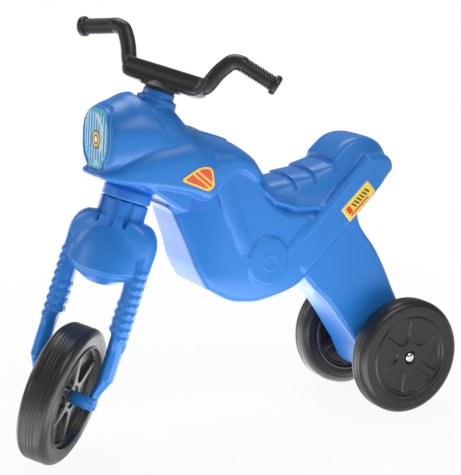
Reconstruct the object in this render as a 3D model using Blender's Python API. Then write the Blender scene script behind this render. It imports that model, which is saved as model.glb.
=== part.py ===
"""Three-wheel ride-on motorcycle for a small child, in blow-moulded plastic.

Metres, +Z up. The toy faces -Y and its left side is +X. It is drawn with the floor at Z = 0 under the
middle of the rear axle, and moved at the end so that the origin is the middle of its length and width.
The steering is modelled turned to the left, as it stands at rest.
"""
import bpy
import bmesh
import math
import numpy as np
from mathutils import Matrix, Vector

# Fits
TOUCH_GAP = 0.0003
RUNNING_GAP = 0.0006

# Wheels
REAR_WHEEL_RADIUS = 0.083
REAR_WHEEL_WIDTH = 0.034
REAR_TRACK = 0.153
REAR_RIM_RADIUS = 0.058
FRONT_WHEEL_RADIUS = 0.0952
FRONT_WHEEL_WIDTH = 0.045
FRONT_RIM_RADIUS = 0.0716
SHOULDER_RADIUS = 0.0095
RIM_BEAD = 0.0022
REAR_DISH = 0.003
FRONT_DISH = 0.0075
REAR_POCKET_DEPTH = 0.0035
FRONT_POCKET_DEPTH = 0.008
SPOKES = 6
HUB_RADIUS = 0.0155

# Axles and what holds the wheels on them
AXLE_RADIUS = 0.0040
WASHER_RADIUS = 0.0080
WASHER_THICKNESS = 0.0012
RETAINER_RADIUS = 0.0064
RETAINER_WELL = 0.0040
CAP_RADIUS = 0.0071
CAP_LENGTH = 0.0062
CAP_WALL = 0.0011
CAP_WELL_RADIUS = 0.0092
CAP_WELL_DEPTH = 0.0080
AXLE_BOSS_RADIUS = 0.0190

# Steering axis: where it meets the floor ahead of the rear axle, its lean, and the turn at rest
STEER_FOOT = 0.5317
CASTER = math.radians(21.2)
STEER_REST = math.radians(43.9)
AXLE_OFFSET = 0.0055

# Steering bolt and its bearings
STEM_RADIUS = 0.0150
SPIGOT_RADIUS = 0.0095
BUSH_WALL = 0.0025
BUSH_LENGTH = 0.0120
BUSH_FLANGE_RADIUS = 0.0205
BUSH_FLANGE = 0.0018
BOLT_RADIUS = 0.0040
BOLT_HEAD_RADIUS = 0.0075
BOLT_HEAD_HEIGHT = 0.0050
BOLT_WASHER_RADIUS = 0.0086
BOLT_WASHER_THICKNESS = 0.0016
NUT_HEIGHT = 0.0062
BOLT_WELL_RADIUS = 0.0094
BOLT_WELL_DEPTH = 0.0160
BAR_FLOOR = 0.0025

# Neck, along the steering axis; its bottom is measured from the floor. The cowl's back edge lies
# COWL_DROP below its collar, and the belt where fairing and tank meet the engine BELT_DROP lower
NECK_BOTTOM = 0.3710
NECK_LENGTH = 0.1480
NECK_FLANGE_HEIGHT = 0.0120
NECK_FLANGE_RADIUS = 0.0332
NECK_RADIUS = 0.0290
NECK_TOP_RADIUS = 0.0215
COLLAR_DROP = 0.0100
COLLAR_HEIGHT = 0.0100
COLLAR_RADIUS = 0.0272
COWL_DROP = 0.0030
BELT_DROP = 0.0824

# Fork
FORK_HALF_WIDTH = 0.0610
FORK_LEG_INNER = 0.0355
FORK_LOWER_INNER = 0.0400
FORK_LEG_DEPTH = 0.0330
FORK_LOWER_DEPTH = 0.0260
FORK_COLLAR_RADIUS = 0.0324
FORK_COLLAR_HEIGHT = 0.0216
FORK_SHOULDER_DROP = 0.0420
FORK_CHAMFER = 0.0380
FORK_RIBS = 9
FORK_RIB_DROP = 0.0630
FORK_RIB_PITCH = 0.0113
FORK_RIB_HEIGHT = 0.0014
FORK_INNER_RIB_FIRST = 4
FLUTES = 3
FLUTE_SPACING = math.radians(36)
FLUTE_RADIUS = 0.0042
FLUTE_RUN = 0.0140
FORK_BOSS_RADIUS = 0.0092
FORK_BOSS_OUTER = 0.0475
DOME_HALF_WIDTH = 0.0515
DOME_DEPTH = 0.0375
DOME_HEIGHT = 0.0660
DOME_UNDER = 0.0180

# Handlebar
BAR_BLOCK_HALF = 0.0585
BAR_BLOCK_HEIGHT = 0.0225
BAR_BLOCK_FRONT = 0.0120
BAR_BLOCK_DEPTH = 0.0460
BAR_TUBE_RADIUS = 0.0105
BAR_SKIRT_RADIUS = 0.0275
BAR_SKIRT_HEIGHT = 0.0022
BAR_SKIRT_NECK = 0.0055
COVER_HALF_WIDTH = 0.0460
COVER_HALF_DEPTH = 0.0165
COVER_THICKNESS = 0.0018
GRIP_RADIUS = 0.0094
GRIP_RIB_RADIUS = 0.0108
GRIP_RIBS = 8
GRIP_FLANGE_RADIUS = 0.0136
GRIP_FLANGE_LENGTH = 0.0060
GRIP_START = (0.0940, 0.0185, 0.0550)
GRIP_END = (0.1432, 0.0320, 0.0416)

# Body half-widths, set from the tank's, and the round forms on the engine's sides
TANK_HALF = 0.0600
FAIRING_HALF = TANK_HALF + 0.0030
COWL_HALF = TANK_HALF - 0.0050
LAMP_HALF = COWL_HALF - 0.0062
ENGINE_HALF = TANK_HALF - 0.0090
ENGINE_NOSE_HALF = ENGINE_HALF - 0.0150
TAIL_HALF = TANK_HALF - 0.0050
SKIRT_HALF = TAIL_HALF - 0.0025
SEAT_HALF = SKIRT_HALF - 0.0155
DISC_HALF = ENGINE_HALF + 0.0030
DISC_RADIUS = 0.0310
CRESCENT_WIDTH = 0.0055
TUBE_HALF = 0.0098
TUBE_RISE = 0.0048

# Faces round a curve
RING = 20
WHEEL_ROUND = 24
ROUND = 16
SMALL_ROUND = 10

BLUE = (0.045, 0.205, 0.66, 1.0)
BLACK = (0.018, 0.018, 0.019, 1.0)
GREY_BLACK = (0.035, 0.035, 0.036, 1.0)
CHROME = (0.62, 0.63, 0.65, 1.0)
STEEL = (0.50, 0.51, 0.53, 1.0)
DARK = (0.028, 0.028, 0.030, 1.0)


def clear_scene():
    for obj in list(bpy.data.objects):
        bpy.data.objects.remove(obj, do_unlink=True)


def make_material(name, colour, roughness, metallic):
    material = bpy.data.materials.new(name)
    material.use_nodes = True
    shader = material.node_tree.nodes["Principled BSDF"]
    shader.inputs["Base Color"].default_value = colour
    shader.inputs["Roughness"].default_value = roughness
    shader.inputs["Metallic"].default_value = metallic
    material.diffuse_color = colour
    return material


def add_object(name, mesh, parent=None):
    obj = bpy.data.objects.new(name, mesh)
    bpy.context.scene.collection.objects.link(obj)
    if parent is not None:
        obj.parent = parent
    return obj


def mesh_from(name, verts, faces):
    """A mesh with merged poles and its faces pointing out."""
    bm = bmesh.new()
    corners = [bm.verts.new(v) for v in verts]
    for face in faces:
        bm.faces.new([corners[i] for i in face])
    bmesh.ops.remove_doubles(bm, verts=bm.verts, dist=1e-6)
    bmesh.ops.recalc_face_normals(bm, faces=bm.faces)
    mesh = bpy.data.meshes.new(name)
    bm.to_mesh(mesh)
    bm.free()
    return mesh


def loft(name, rings):
    """A closed solid through rings that have the same number of points."""
    count = len(rings[0])
    verts = [p for ring in rings for p in ring]
    faces = []
    for r in range(len(rings) - 1):
        for i in range(count):
            j = (i + 1) % count
            faces.append((r * count + i, r * count + j, (r + 1) * count + j, (r + 1) * count + i))
    faces.append(tuple(range(count)))
    faces.append(tuple(range((len(rings) - 1) * count, len(rings) * count)))
    return add_object(name, mesh_from(name, verts, faces))


def turned(name, profile, segments, axis="Z", flats=False):
    """A solid turned about an axis. The profile is a closed loop of (radius, height).

    With flats, the middle of each facet and not its corners lies at the profile's radius.
    """
    verts = []
    reach = 1 / math.cos(math.pi / segments) if flats else 1.0
    for k in range(segments):
        angle = 2 * math.pi * (k + (0.5 if flats else 0.0)) / segments
        for radius, height in profile:
            a = radius * reach * math.cos(angle)
            b = radius * reach * math.sin(angle)
            verts.append((height, a, b) if axis == "X" else (a, b, height))
    n = len(profile)
    faces = []
    for k in range(segments):
        m = (k + 1) % segments
        for i in range(n):
            j = (i + 1) % n
            if profile[i][0] < 1e-9 and profile[j][0] < 1e-9:
                continue
            loop = (k * n + i, k * n + j, m * n + j, m * n + i)
            if profile[i][0] < 1e-9:
                loop = (k * n + i, k * n + j, m * n + j)
            elif profile[j][0] < 1e-9:
                loop = (k * n + i, k * n + j, m * n + i)
            faces.append(loop)
    return add_object(name, mesh_from(name, verts, faces))


def inset_outline(outline, depth):
    """The outline moved inwards by depth, corner by corner."""
    pts = [Vector(p) for p in outline]
    n = len(pts)
    area = sum(pts[i].x * pts[(i + 1) % n].y - pts[(i + 1) % n].x * pts[i].y for i in range(n))
    turn = 1 if area > 0 else -1
    out = []
    for i in range(n):
        before = (pts[i] - pts[i - 1]).normalized()
        after = (pts[(i + 1) % n] - pts[i]).normalized()
        inward = Vector((-(before.y + after.y), before.x + after.x)) * turn
        inward.normalize()
        slant = max(0.55, inward.dot(Vector((-after.y, after.x)) * turn))
        out.append(pts[i] + inward * depth / slant)
    return out


def slab(name, outline, half, edge, steps=2):
    """An outline of (y, z) drawn out to both sides along X, with its rims rounded by edge."""
    rings = []
    for k in range(steps + 1):
        angle = math.pi / 2 * k / steps
        ring = inset_outline(outline, edge * (1 - math.sin(angle)))
        rings.append([(half - edge * (1 - math.cos(angle)), p.x, p.y) for p in ring])
    rings += [[(-x, y, z) for x, y, z in ring] for ring in reversed(rings)]
    return loft(name, rings)


def score(obj, axis, places):
    """Cuts edges across the mesh square to an axis, so that its faces can bend there."""
    bm = bmesh.new()
    bm.from_mesh(obj.data)
    for place in places:
        bmesh.ops.bisect_plane(bm, geom=bm.verts[:] + bm.edges[:] + bm.faces[:],
                               plane_co=axis * place, plane_no=axis)
    bm.to_mesh(obj.data)
    bm.free()


def combine(target, others, operation="UNION"):
    """Joins the others to the target, or cuts them out of it, and keeps one mesh."""
    for other in others:
        modifier = target.modifiers.new("combine", "BOOLEAN")
        modifier.operation = operation
        modifier.solver = "EXACT"
        modifier.object = other
        bpy.context.view_layer.update()
        graph = bpy.context.evaluated_depsgraph_get()
        mesh = bpy.data.meshes.new_from_object(target.evaluated_get(graph))
        target.modifiers.clear()
        old = target.data
        target.data = mesh
        bpy.data.meshes.remove(old)
        bpy.data.objects.remove(other, do_unlink=True)
    return target


def finish(obj, name, material, parent=None, angle=32):
    """Cleans the mesh, names the piece and gives it its material."""
    bm = bmesh.new()
    bm.from_mesh(obj.data)
    bmesh.ops.remove_doubles(bm, verts=bm.verts, dist=2e-5)
    bmesh.ops.dissolve_degenerate(bm, edges=bm.edges, dist=2e-5)
    bm.to_mesh(obj.data)
    bm.free()
    obj.name = name
    obj.data.name = name
    obj.data.materials.clear()
    obj.data.materials.append(material)
    obj.data.shade_smooth()
    obj.data.set_sharp_from_angle(angle=math.radians(angle))
    if parent is not None:
        obj.parent = parent
    return obj


def transform(obj, matrix):
    obj.data.transform(matrix)
    return obj


def curve_through(points, count):
    """Smooth points through the given ones, evenly spread over their spans."""
    pts = np.array(points, float)
    padded = np.vstack([2 * pts[0] - pts[1], pts, 2 * pts[-1] - pts[-2]])
    spans = len(pts) - 1
    out = []
    for k in range(count):
        u = spans * k / (count - 1)
        i = min(int(u), spans - 1)
        t = u - i
        a, b, c, d = padded[i:i + 4]
        out.append(0.5 * (2 * b + (c - a) * t + (2 * a - 5 * b + 4 * c - d) * t ** 2
                          + (3 * b - a - 3 * c + d) * t ** 3))
    return out


def dome_ring(y, half, low, wide, high, square_low, square_high, tilt):
    """A cross-section at y: widest at height wide, with a rounder or squarer top and bottom."""
    ring = []
    for k in range(RING):
        angle = 2 * math.pi * (k + 0.5) / RING
        c = math.cos(angle)
        s = math.sin(angle)
        power = 2.0 / (square_high if s > 0 else square_low)
        reach = high - wide if s > 0 else wide - low
        x = half * math.copysign(abs(c) ** power, c)
        z = wide + reach * math.copysign(abs(s) ** power, s)
        ring.append((x, y + tilt * (z - wide), z))
    return ring


def body_loft(name, stations, count):
    """A body form through stations of (y, half, low, wide, high, square_low, square_high, tilt)."""
    return loft(name, [dome_ring(*s) for s in curve_through(stations, count)])


def arc(centre, radius, start, end, count):
    """Points on a circle between two angles in degrees."""
    out = []
    for k in range(count + 1):
        a = math.radians(start + (end - start) * k / count)
        out.append((centre[0] + radius * math.cos(a), centre[1] + radius * math.sin(a)))
    return out


# The steering frame: X to the left, Y back and Z up along the steering axis
def steering_matrix(turn):
    return (Matrix.Translation((0, -STEER_FOOT, 0)) @ Matrix.Rotation(-CASTER, 4, "X")
            @ Matrix.Rotation(turn, 4, "Z"))


def tyre_shoulder(radius, half):
    """The round shoulder of a tyre, from its side to its tread, as (radius, distance from the middle)."""
    return arc((radius - SHOULDER_RADIUS, half - SHOULDER_RADIUS), SHOULDER_RADIUS, 90, 0, 3)


NECK_TOP = NECK_BOTTOM + NECK_LENGTH
COLLAR_TOP = NECK_TOP - COLLAR_DROP
COLLAR_BOTTOM = COLLAR_TOP - COLLAR_HEIGHT
HEAD_HEIGHT = COLLAR_BOTTOM - COWL_DROP
HEAD_Y = (steering_matrix(0) @ Vector((0, 0, HEAD_HEIGHT))).y
BELT_Z = HEAD_HEIGHT * math.cos(CASTER) - BELT_DROP
# The front axle leans when it is turned, and the tyre stands on its shoulder
AXLE_LEAN = math.asin(math.sin(CASTER) * abs(math.sin(STEER_REST)))
FRONT_AXLE_HEIGHT = max(r * math.cos(AXLE_LEAN) + x * math.sin(AXLE_LEAN)
                        for r, x in tyre_shoulder(FRONT_WHEEL_RADIUS, FRONT_WHEEL_WIDTH / 2))
FRONT_AXLE_T = ((FRONT_AXLE_HEIGHT - AXLE_OFFSET * math.sin(CASTER) * math.cos(STEER_REST))
                / math.cos(CASTER))
WHEEL_INNER = REAR_TRACK / 2 - REAR_WHEEL_WIDTH / 2
BOSS_HALF = WHEEL_INNER - WASHER_THICKNESS - TOUCH_GAP - RUNNING_GAP
LEG_FOOT_HALF = BOSS_HALF - 0.0094
LEG_HALF = LEG_FOOT_HALF - 0.0085
BUSH_OUTER = STEM_RADIUS + RUNNING_GAP + BUSH_WALL
FORK_COLLAR_TOP = NECK_BOTTOM - BUSH_FLANGE - 2 * TOUCH_GAP
SKIRT_BOTTOM = NECK_TOP + BUSH_FLANGE + 2 * TOUCH_GAP
BAR_BLOCK_BOTTOM = SKIRT_BOTTOM + BAR_SKIRT_HEIGHT + BAR_SKIRT_NECK
BAR_BLOCK_TOP = BAR_BLOCK_BOTTOM + BAR_BLOCK_HEIGHT
FORK_SHOULDER_TOP = FORK_COLLAR_TOP - FORK_COLLAR_HEIGHT
FORK_RIB_TOP = FORK_SHOULDER_TOP - FORK_RIB_DROP
FORK_WAIST = FORK_RIB_TOP - (FORK_RIBS - 1.5) * FORK_RIB_PITCH
DOME_RIM = FORK_SHOULDER_TOP - 0.0090 - DOME_HEIGHT
DOME_BOTTOM = DOME_RIM - DOME_UNDER
FLUTE_BOTTOM = FORK_SHOULDER_TOP - FLUTE_RUN
COVER_SEAT = BAR_BLOCK_TOP - COVER_THICKNESS - TOUCH_GAP
NUT_TOP = COVER_SEAT - 0.0012
NUT_BOTTOM = NUT_TOP - NUT_HEIGHT
BAR_FLOOR_TOP = NUT_BOTTOM - BOLT_WASHER_THICKNESS - 2 * TOUCH_GAP
STEM_TOP = BAR_FLOOR_TOP - BAR_FLOOR - TOUCH_GAP
STEM_SHOULDER = BAR_BLOCK_BOTTOM - 0.0015
FORK_CHAMFER_TOP = FRONT_AXLE_T + FORK_CHAMFER
BOLT_WELL_TOP = DOME_BOTTOM + BOLT_WELL_DEPTH
FRONT_HUB_HALF = FRONT_WHEEL_WIDTH / 2 - FRONT_DISH - 0.0025
FORK_BOSS_INNER = FRONT_HUB_HALF + WASHER_THICKNESS + TOUCH_GAP + RUNNING_GAP
CAP_WELL_FLOOR = REAR_TRACK / 2 + REAR_WHEEL_WIDTH / 2 - CAP_WELL_DEPTH


def seat_ring(y, crest, low):
    """The seat's section at y: a flat top with round corners, on sides that spread down to a skirt."""
    rear = max(0.0, min(1.0, (y + 0.095) / 0.045))
    skirt = SKIRT_HALF + (TAIL_HALF - 0.0035 - SKIRT_HALF) * rear
    keel = 0.0010 + 0.0190 * max(0.0, min(1.0, (-0.060 - y) / 0.040))
    end = 1 - 0.36 * max(0.0, min(1.0, (y + 0.030) / 0.034)) ** 1.5
    brow = min(0.0100, 0.5 * (crest - low))
    drop = crest - brow - low
    half = [(0.0, crest), (SEAT_HALF - 0.0090, crest - 0.08 * brow),
            (SEAT_HALF - 0.0035, crest - 0.36 * brow),
            (SEAT_HALF, crest - brow), (SEAT_HALF + (skirt - SEAT_HALF) * 0.62, low + 0.45 * drop),
            (skirt, low + min(0.0035, 0.3 * drop)), (skirt - 0.0010, low), (0.0, low - keel)]
    return ([(x * end, y, z) for x, z in half]
            + [(-x * end, y, z) for x, z in reversed(half[1:-1])])


def build_body(material):
    """The body shell: lamp cowl, fairing, tank, engine, seat, tail and rear leg in one moulding."""
    h = HEAD_Y
    z = BELT_Z
    # Lamp cowl: flat lamp face, rounded rim, top rising to the back edge
    cowl = body_loft("cowl", [
        (h - 0.0845, LAMP_HALF - 0.0075, z + 0.012, z + 0.054, z + 0.085, 2.9, 2.2, 0.08),
        (h - 0.0825, LAMP_HALF - 0.0025, z + 0.008, z + 0.054, z + 0.090, 2.9, 2.2, 0.08),
        (h - 0.0770, LAMP_HALF, z + 0.006, z + 0.054, z + 0.094, 2.9, 2.2, 0.06),
        (h - 0.0580, COWL_HALF - 0.002, z + 0.004, z + 0.052, z + 0.099, 2.7, 2.2, 0.00),
        (h - 0.0360, COWL_HALF, z + 0.004, z + 0.050, z + 0.105, 2.5, 2.1, -0.15),
        (h - 0.0040, COWL_HALF, z + 0.004, z + 0.046, z + 0.107, 2.5, 1.9, -0.50),
    ], 9)
    # Shoulders between the cowl and the tank, under the neck
    shoulder = body_loft("shoulder", [
        (h - 0.0400, COWL_HALF - 0.002, z, z + 0.045, z + 0.092, 2.5, 2.1, -0.30),
        (h - 0.0100, COWL_HALF + 0.001, z, z + 0.040, z + 0.095, 2.5, 2.0, -0.20),
        (h + 0.0120, COWL_HALF + 0.001, z, z + 0.035, z + 0.088, 2.5, 1.9, 0.0),
        (h + 0.0300, COWL_HALF, z, z + 0.030, z + 0.067, 2.5, 2.0, 0.0),
        (h + 0.0450, COWL_HALF - 0.002, z, z + 0.025, z + 0.044, 2.5, 2.1, 0.0),
    ], 6)
    # Fairing: a wing from the chin that swells and widens to the tank
    fairing = body_loft("fairing", [
        (h - 0.0940, 0.0280, z + 0.0062, z + 0.009, z + 0.0122, 3.0, 2.2, 0.0),
        (h - 0.0900, 0.0340, z + 0.0048, z + 0.009, z + 0.0148, 3.0, 2.2, 0.0),
        (h - 0.0750, FAIRING_HALF - 0.0160, z - 0.0005, z + 0.007, z + 0.022, 4.0, 2.6, 0.0),
        (h - 0.0600, FAIRING_HALF - 0.0090, z - 0.0035, z + 0.0055, z + 0.032, 4.5, 3.2, 0.0),
        (h - 0.0400, FAIRING_HALF - 0.0040, z - 0.0065, z + 0.004, z + 0.0415, 5.0, 3.4, 0.0),
        (h - 0.0150, FAIRING_HALF - 0.0005, z - 0.011, z + 0.002, z + 0.050, 5.0, 3.4, 0.0),
        (h + 0.0250, FAIRING_HALF, z - 0.0235, z - 0.0025, z + 0.0575, 5.0, 3.2, 0.0),
        (h + 0.0480, FAIRING_HALF, z - 0.035, z - 0.0058, z + 0.053, 5.0, 2.6, 0.0),
        (h + 0.0610, FAIRING_HALF - 0.0018, z - 0.031, z - 0.0058, z + 0.0462, 5.0, 2.4, 0.0),
    ], 12)
    # Tank: crest falling to the seat, with a lip on each side
    tank = body_loft("tank", [
        (h + 0.0300, TANK_HALF - 0.004, z - 0.025, z + 0.003, z + 0.049, 4.0, 2.2, 0.0),
        (h + 0.0550, TANK_HALF, z - 0.030, z + 0.003, z + 0.047, 4.5, 2.2, 0.0),
        (h + 0.0750, TANK_HALF - 0.0005, z - 0.020, z + 0.004, z + 0.041, 5.0, 2.3, 0.0),
        (h + 0.1000, TANK_HALF - 0.0025, z - 0.009, z + 0.007, z + 0.031, 5.0, 2.4, 0.0),
        (h + 0.1220, TANK_HALF - 0.0045, z - 0.024, z - 0.006, z + 0.016, 4.5, 2.4, 0.0),
        (h + 0.1330, TANK_HALF - 0.0110, z - 0.030, z - 0.016, z + 0.005, 4.0, 2.4, 0.0),
        (h + 0.1460, TANK_HALF - 0.0240, z - 0.036, z - 0.027, z - 0.011, 3.5, 2.4, 0.0),
        (h + 0.1580, TANK_HALF - 0.0400, z - 0.040, z - 0.036, z - 0.026, 3.0, 2.5, 0.0),
    ], 10)
    # Housing under the fairing, behind the neck
    housing = slab("housing", [
        (h - 0.070, z + 0.004), (h - 0.035, z - 0.014), (h + 0.008, z - 0.047), (h + 0.0165, z - 0.0515),
        (h + 0.0235, z - 0.048), (h + 0.030, z - 0.032), (h + 0.055, z - 0.015), (h + 0.070, z + 0.005)],
        FAIRING_HALF - 0.010, 0.0045)
    # Engine block: flat nose between two creases, round belly
    belly = curve_through([(h + 0.050, 0.2170), (h + 0.087, 0.1945), (-0.240, 0.1880), (-0.216, 0.1860),
                           (-0.181, 0.1930), (-0.160, 0.2010), (-0.146, 0.2120)], 11)
    belly = [tuple(p) for p in belly]
    nose = [(h - 0.002, z - 0.045), (h + 0.008, z - 0.055), (h + 0.026, 0.275), (h + 0.034, 0.249),
            (h + 0.042, 0.232)]
    back = [(-0.105, 0.250), (-0.100, 0.303), (-0.135, 0.3050), (-0.160, 0.3070), (-0.183, 0.3140),
            (-0.204, 0.3300), (-0.216, 0.3510), (-0.226, z - 0.012), (-0.250, z + 0.005),
            (h + 0.045, z + 0.008)]
    engine = slab("engine", nose + belly + back, ENGINE_HALF, 0.0090, 3)
    score(engine, Vector((0, 1, 0)), (-0.31, -0.27))
    score(engine, Vector((0, 0, 1)), (0.235, 0.325))
    for v in engine.data.vertices:
        rise = max(0.0, min(1.0, (v.co.z - 0.235) / 0.09)) * max(0.0, min(1.0, (-0.27 - v.co.y) / 0.04))
        v.co.x *= 1 - rise * (1 - ENGINE_NOSE_HALF / ENGINE_HALF)
    # Seat: narrow stepped top that widens down to a curved skirt, with a rounded rear end
    crest = [(-0.2250, 0.3670), (-0.2120, 0.3560), (-0.1960, 0.3490), (-0.1620, 0.3525),
             (-0.1612, 0.3560), (-0.1300, 0.3585), (-0.1292, 0.3624), (-0.0980, 0.3685),
             (-0.0972, 0.3734), (-0.0800, 0.3880), (-0.0660, 0.3962), (-0.0500, 0.3985),
             (-0.0320, 0.3960), (-0.0150, 0.3870), (-0.0030, 0.3740), (0.0030, 0.3620)]
    skirt_edge = [(-0.2250, 0.3560), (-0.2160, 0.3460), (-0.2050, 0.3305), (-0.1815, 0.3165),
                  (-0.1600, 0.3100), (-0.1350, 0.3080), (-0.1000, 0.3085), (-0.0500, 0.3120),
                  (-0.0300, 0.3260), (-0.0100, 0.3420), (0.0030, 0.3500)]
    edge_y = [p[0] for p in skirt_edge]
    edge_z = [p[1] for p in skirt_edge]
    seat = loft("seat", [seat_ring(y, z, float(np.interp(y, edge_y, edge_z))) for y, z in crest])
    # Tail panels: a band along each side from the engine up to the back of the seat
    band = [(-0.1490, 0.2160), (-0.0800, 0.2780), (-0.0080, 0.3420), (0.0000, 0.3520),
            (-0.0040, 0.3680), (-0.0200, 0.3800), (-0.0500, 0.3800), (-0.1150, 0.3180),
            (-0.1790, 0.2600), (-0.1780, 0.2350)]
    tail = slab("tail", band, TAIL_HALF, 0.0075)
    score(tail, Vector((0, 1, 0)), (-0.045, -0.02))
    for v in tail.data.vertices:
        v.co.x *= 1 - 0.16 * max(0.0, min(1.0, (v.co.y + 0.045) / 0.045)) ** 1.5
    # Rear leg down to the axle, wider at its foot
    axle_z = REAR_WHEEL_RADIUS
    leg_outline = [(-0.090, 0.300), (-0.1450, 0.2115), (-0.1020, 0.1640), (-0.0740, 0.1240)]
    leg_outline += [(-0.0480, 0.0850)]
    leg_outline += arc((0.0, axle_z), 0.0440, 218, 350, 6)
    leg_outline += [(0.0430, 0.1000), (0.0105, 0.1635), (-0.0075, 0.2040), (-0.0245, 0.2360),
                    (-0.0495, 0.2720), (-0.0560, 0.300)]
    leg = slab("leg", leg_outline, LEG_HALF, 0.0065)
    score(leg, Vector((0, 0, 1)), (0.070, 0.110, 0.150))
    for v in leg.data.vertices:
        drop = max(0.0, min(1.0, (0.150 - v.co.z) / 0.080))
        v.co.x *= 1 + (LEG_FOOT_HALF / LEG_HALF - 1) * drop * drop * (3 - 2 * drop)
    boss = turned("boss", [(0, -BOSS_HALF), (AXLE_BOSS_RADIUS, -BOSS_HALF),
                           (AXLE_BOSS_RADIUS, BOSS_HALF), (0, BOSS_HALF)], ROUND, "X")
    transform(boss, Matrix.Translation((0, 0, axle_z)))
    # Disc cover on each side of the engine
    disc_y = -0.2105
    disc_z = 0.2430
    disc_profile = [(0, -DISC_HALF), (DISC_RADIUS - 0.003, -DISC_HALF), (DISC_RADIUS, -DISC_HALF + 0.003)]
    disc_profile += [(r, -x) for r, x in reversed(disc_profile)]
    disc = turned("disc", disc_profile, RING, "X")
    transform(disc, Matrix.Translation((0, disc_y, disc_z)))
    # Raised rim over the disc's upper half
    start, end = math.radians(15), math.radians(165)
    rings = []
    for k in range(11):
        a = start + (end - start) * k / 10
        thick = CRESCENT_WIDTH * math.sin(math.pi * (k + 0.6) / 11.2)
        rings.append([(x, disc_y + r * math.cos(a), disc_z + r * math.sin(a))
                      for x, r in ((DISC_HALF - 0.0005, DISC_RADIUS - 0.004),
                                   (DISC_HALF - 0.0005, DISC_RADIUS + thick * 0.7),
                                   (DISC_HALF - 0.0020, DISC_RADIUS + thick),
                                   (-DISC_HALF + 0.0020, DISC_RADIUS + thick),
                                   (-DISC_HALF + 0.0005, DISC_RADIUS + thick * 0.7),
                                   (-DISC_HALF + 0.0005, DISC_RADIUS - 0.004))])
    crescent = loft("crescent", rings)
    # Frame tube moulded on each side between the tank and the disc
    tubes = []
    for side in (1, -1):
        path = curve_through([(-0.282, z - 0.004), (-0.266, 0.330), (-0.252, 0.295), (-0.238, 0.264)], 6)
        rings = []
        for k, (tube_y, tube_z) in enumerate(path):
            a, b = path[max(k - 1, 0)], path[min(k + 1, 5)]
            along = Vector((0, b[0] - a[0], b[1] - a[1])).normalized()
            across = along.cross(Vector((1, 0, 0)))
            rise = TUBE_RISE * (0.6 if k == len(path) - 1 else 1.0)
            ring = []
            for q in range(8):
                t = 2 * math.pi * q / 8
                centre = Vector((side * (ENGINE_HALF - 0.0010), tube_y, tube_z))
                ring.append(centre + across * TUBE_HALF * math.cos(t)
                            + Vector((side, 0, 0)) * rise * math.sin(t))
            rings.append(ring)
        tubes.append(loft("tube", rings))
    # Neck on the steering axis: lower flange, column, upper collar
    flange_top = NECK_BOTTOM + NECK_FLANGE_HEIGHT
    neck = turned("neck", [(0, NECK_BOTTOM), (NECK_FLANGE_RADIUS - 0.001, NECK_BOTTOM),
                           (NECK_FLANGE_RADIUS, NECK_BOTTOM + 0.001), (NECK_FLANGE_RADIUS, flange_top),
                           (NECK_RADIUS, flange_top + 0.004),
                           (NECK_RADIUS + 0.0045, COLLAR_BOTTOM - 0.024),
                           (COLLAR_RADIUS - 0.0004, COLLAR_BOTTOM - 0.0015), (COLLAR_RADIUS, COLLAR_BOTTOM),
                           (COLLAR_RADIUS, COLLAR_TOP - 0.0015), (COLLAR_RADIUS - 0.0015, COLLAR_TOP),
                           (NECK_TOP_RADIUS, COLLAR_TOP), (NECK_TOP_RADIUS, NECK_TOP), (0, NECK_TOP)], RING)
    transform(neck, steering_matrix(0))
    body = combine(engine, [leg, tail, seat, tank, housing, fairing, shoulder, cowl, neck, boss, disc,
                            crescent] + tubes)
    # Bore for the fork's stem, with a seat for a bush at each end
    reach = 0.01
    seat_radius = BUSH_OUTER + TOUCH_GAP
    low_seat = NECK_BOTTOM + BUSH_LENGTH
    high_seat = NECK_TOP - BUSH_LENGTH
    bore_radius = STEM_RADIUS + 0.0015
    bore = turned("bore", [(0, NECK_BOTTOM - reach), (seat_radius, NECK_BOTTOM - reach),
                           (seat_radius, low_seat), (bore_radius, low_seat), (bore_radius, high_seat),
                           (seat_radius, high_seat), (seat_radius, NECK_TOP + reach),
                           (0, NECK_TOP + reach)], RING)
    transform(bore, steering_matrix(0))
    axle_hole = turned("axle_hole", [(0, -0.1), (AXLE_RADIUS + TOUCH_GAP, -0.1),
                                     (AXLE_RADIUS + TOUCH_GAP, 0.1), (0, 0.1)], SMALL_ROUND, "X")
    transform(axle_hole, Matrix.Translation((0, 0, axle_z)))
    combine(body, [bore, axle_hole], "DIFFERENCE")
    return finish(body, "body_shell", material)


def leg_ring(t, inner, outer, depth, side, outer_rib, inner_rib):
    """A fork leg's section at height t: eight-sided, with a ridge down its front and back."""
    mid = (inner + outer) / 2
    d = depth / 2
    points = [(inner - inner_rib, -0.35), (inner + 0.004 - inner_rib, -0.82), (mid, -1.0),
              (outer - 0.004 + outer_rib, -0.82), (outer + outer_rib, -0.35),
              (outer + outer_rib, 0.35), (outer - 0.004 + outer_rib, 0.82), (mid, 1.0),
              (inner + 0.004 - inner_rib, 0.82), (inner - inner_rib, 0.35)]
    lift = 1 + 0.6 * max(outer_rib, inner_rib) / d
    return [(side * x, y * d * (lift if abs(y) > 0.5 else 1.0) - AXLE_OFFSET * 0.5, t)
            for x, y in points]


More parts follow.
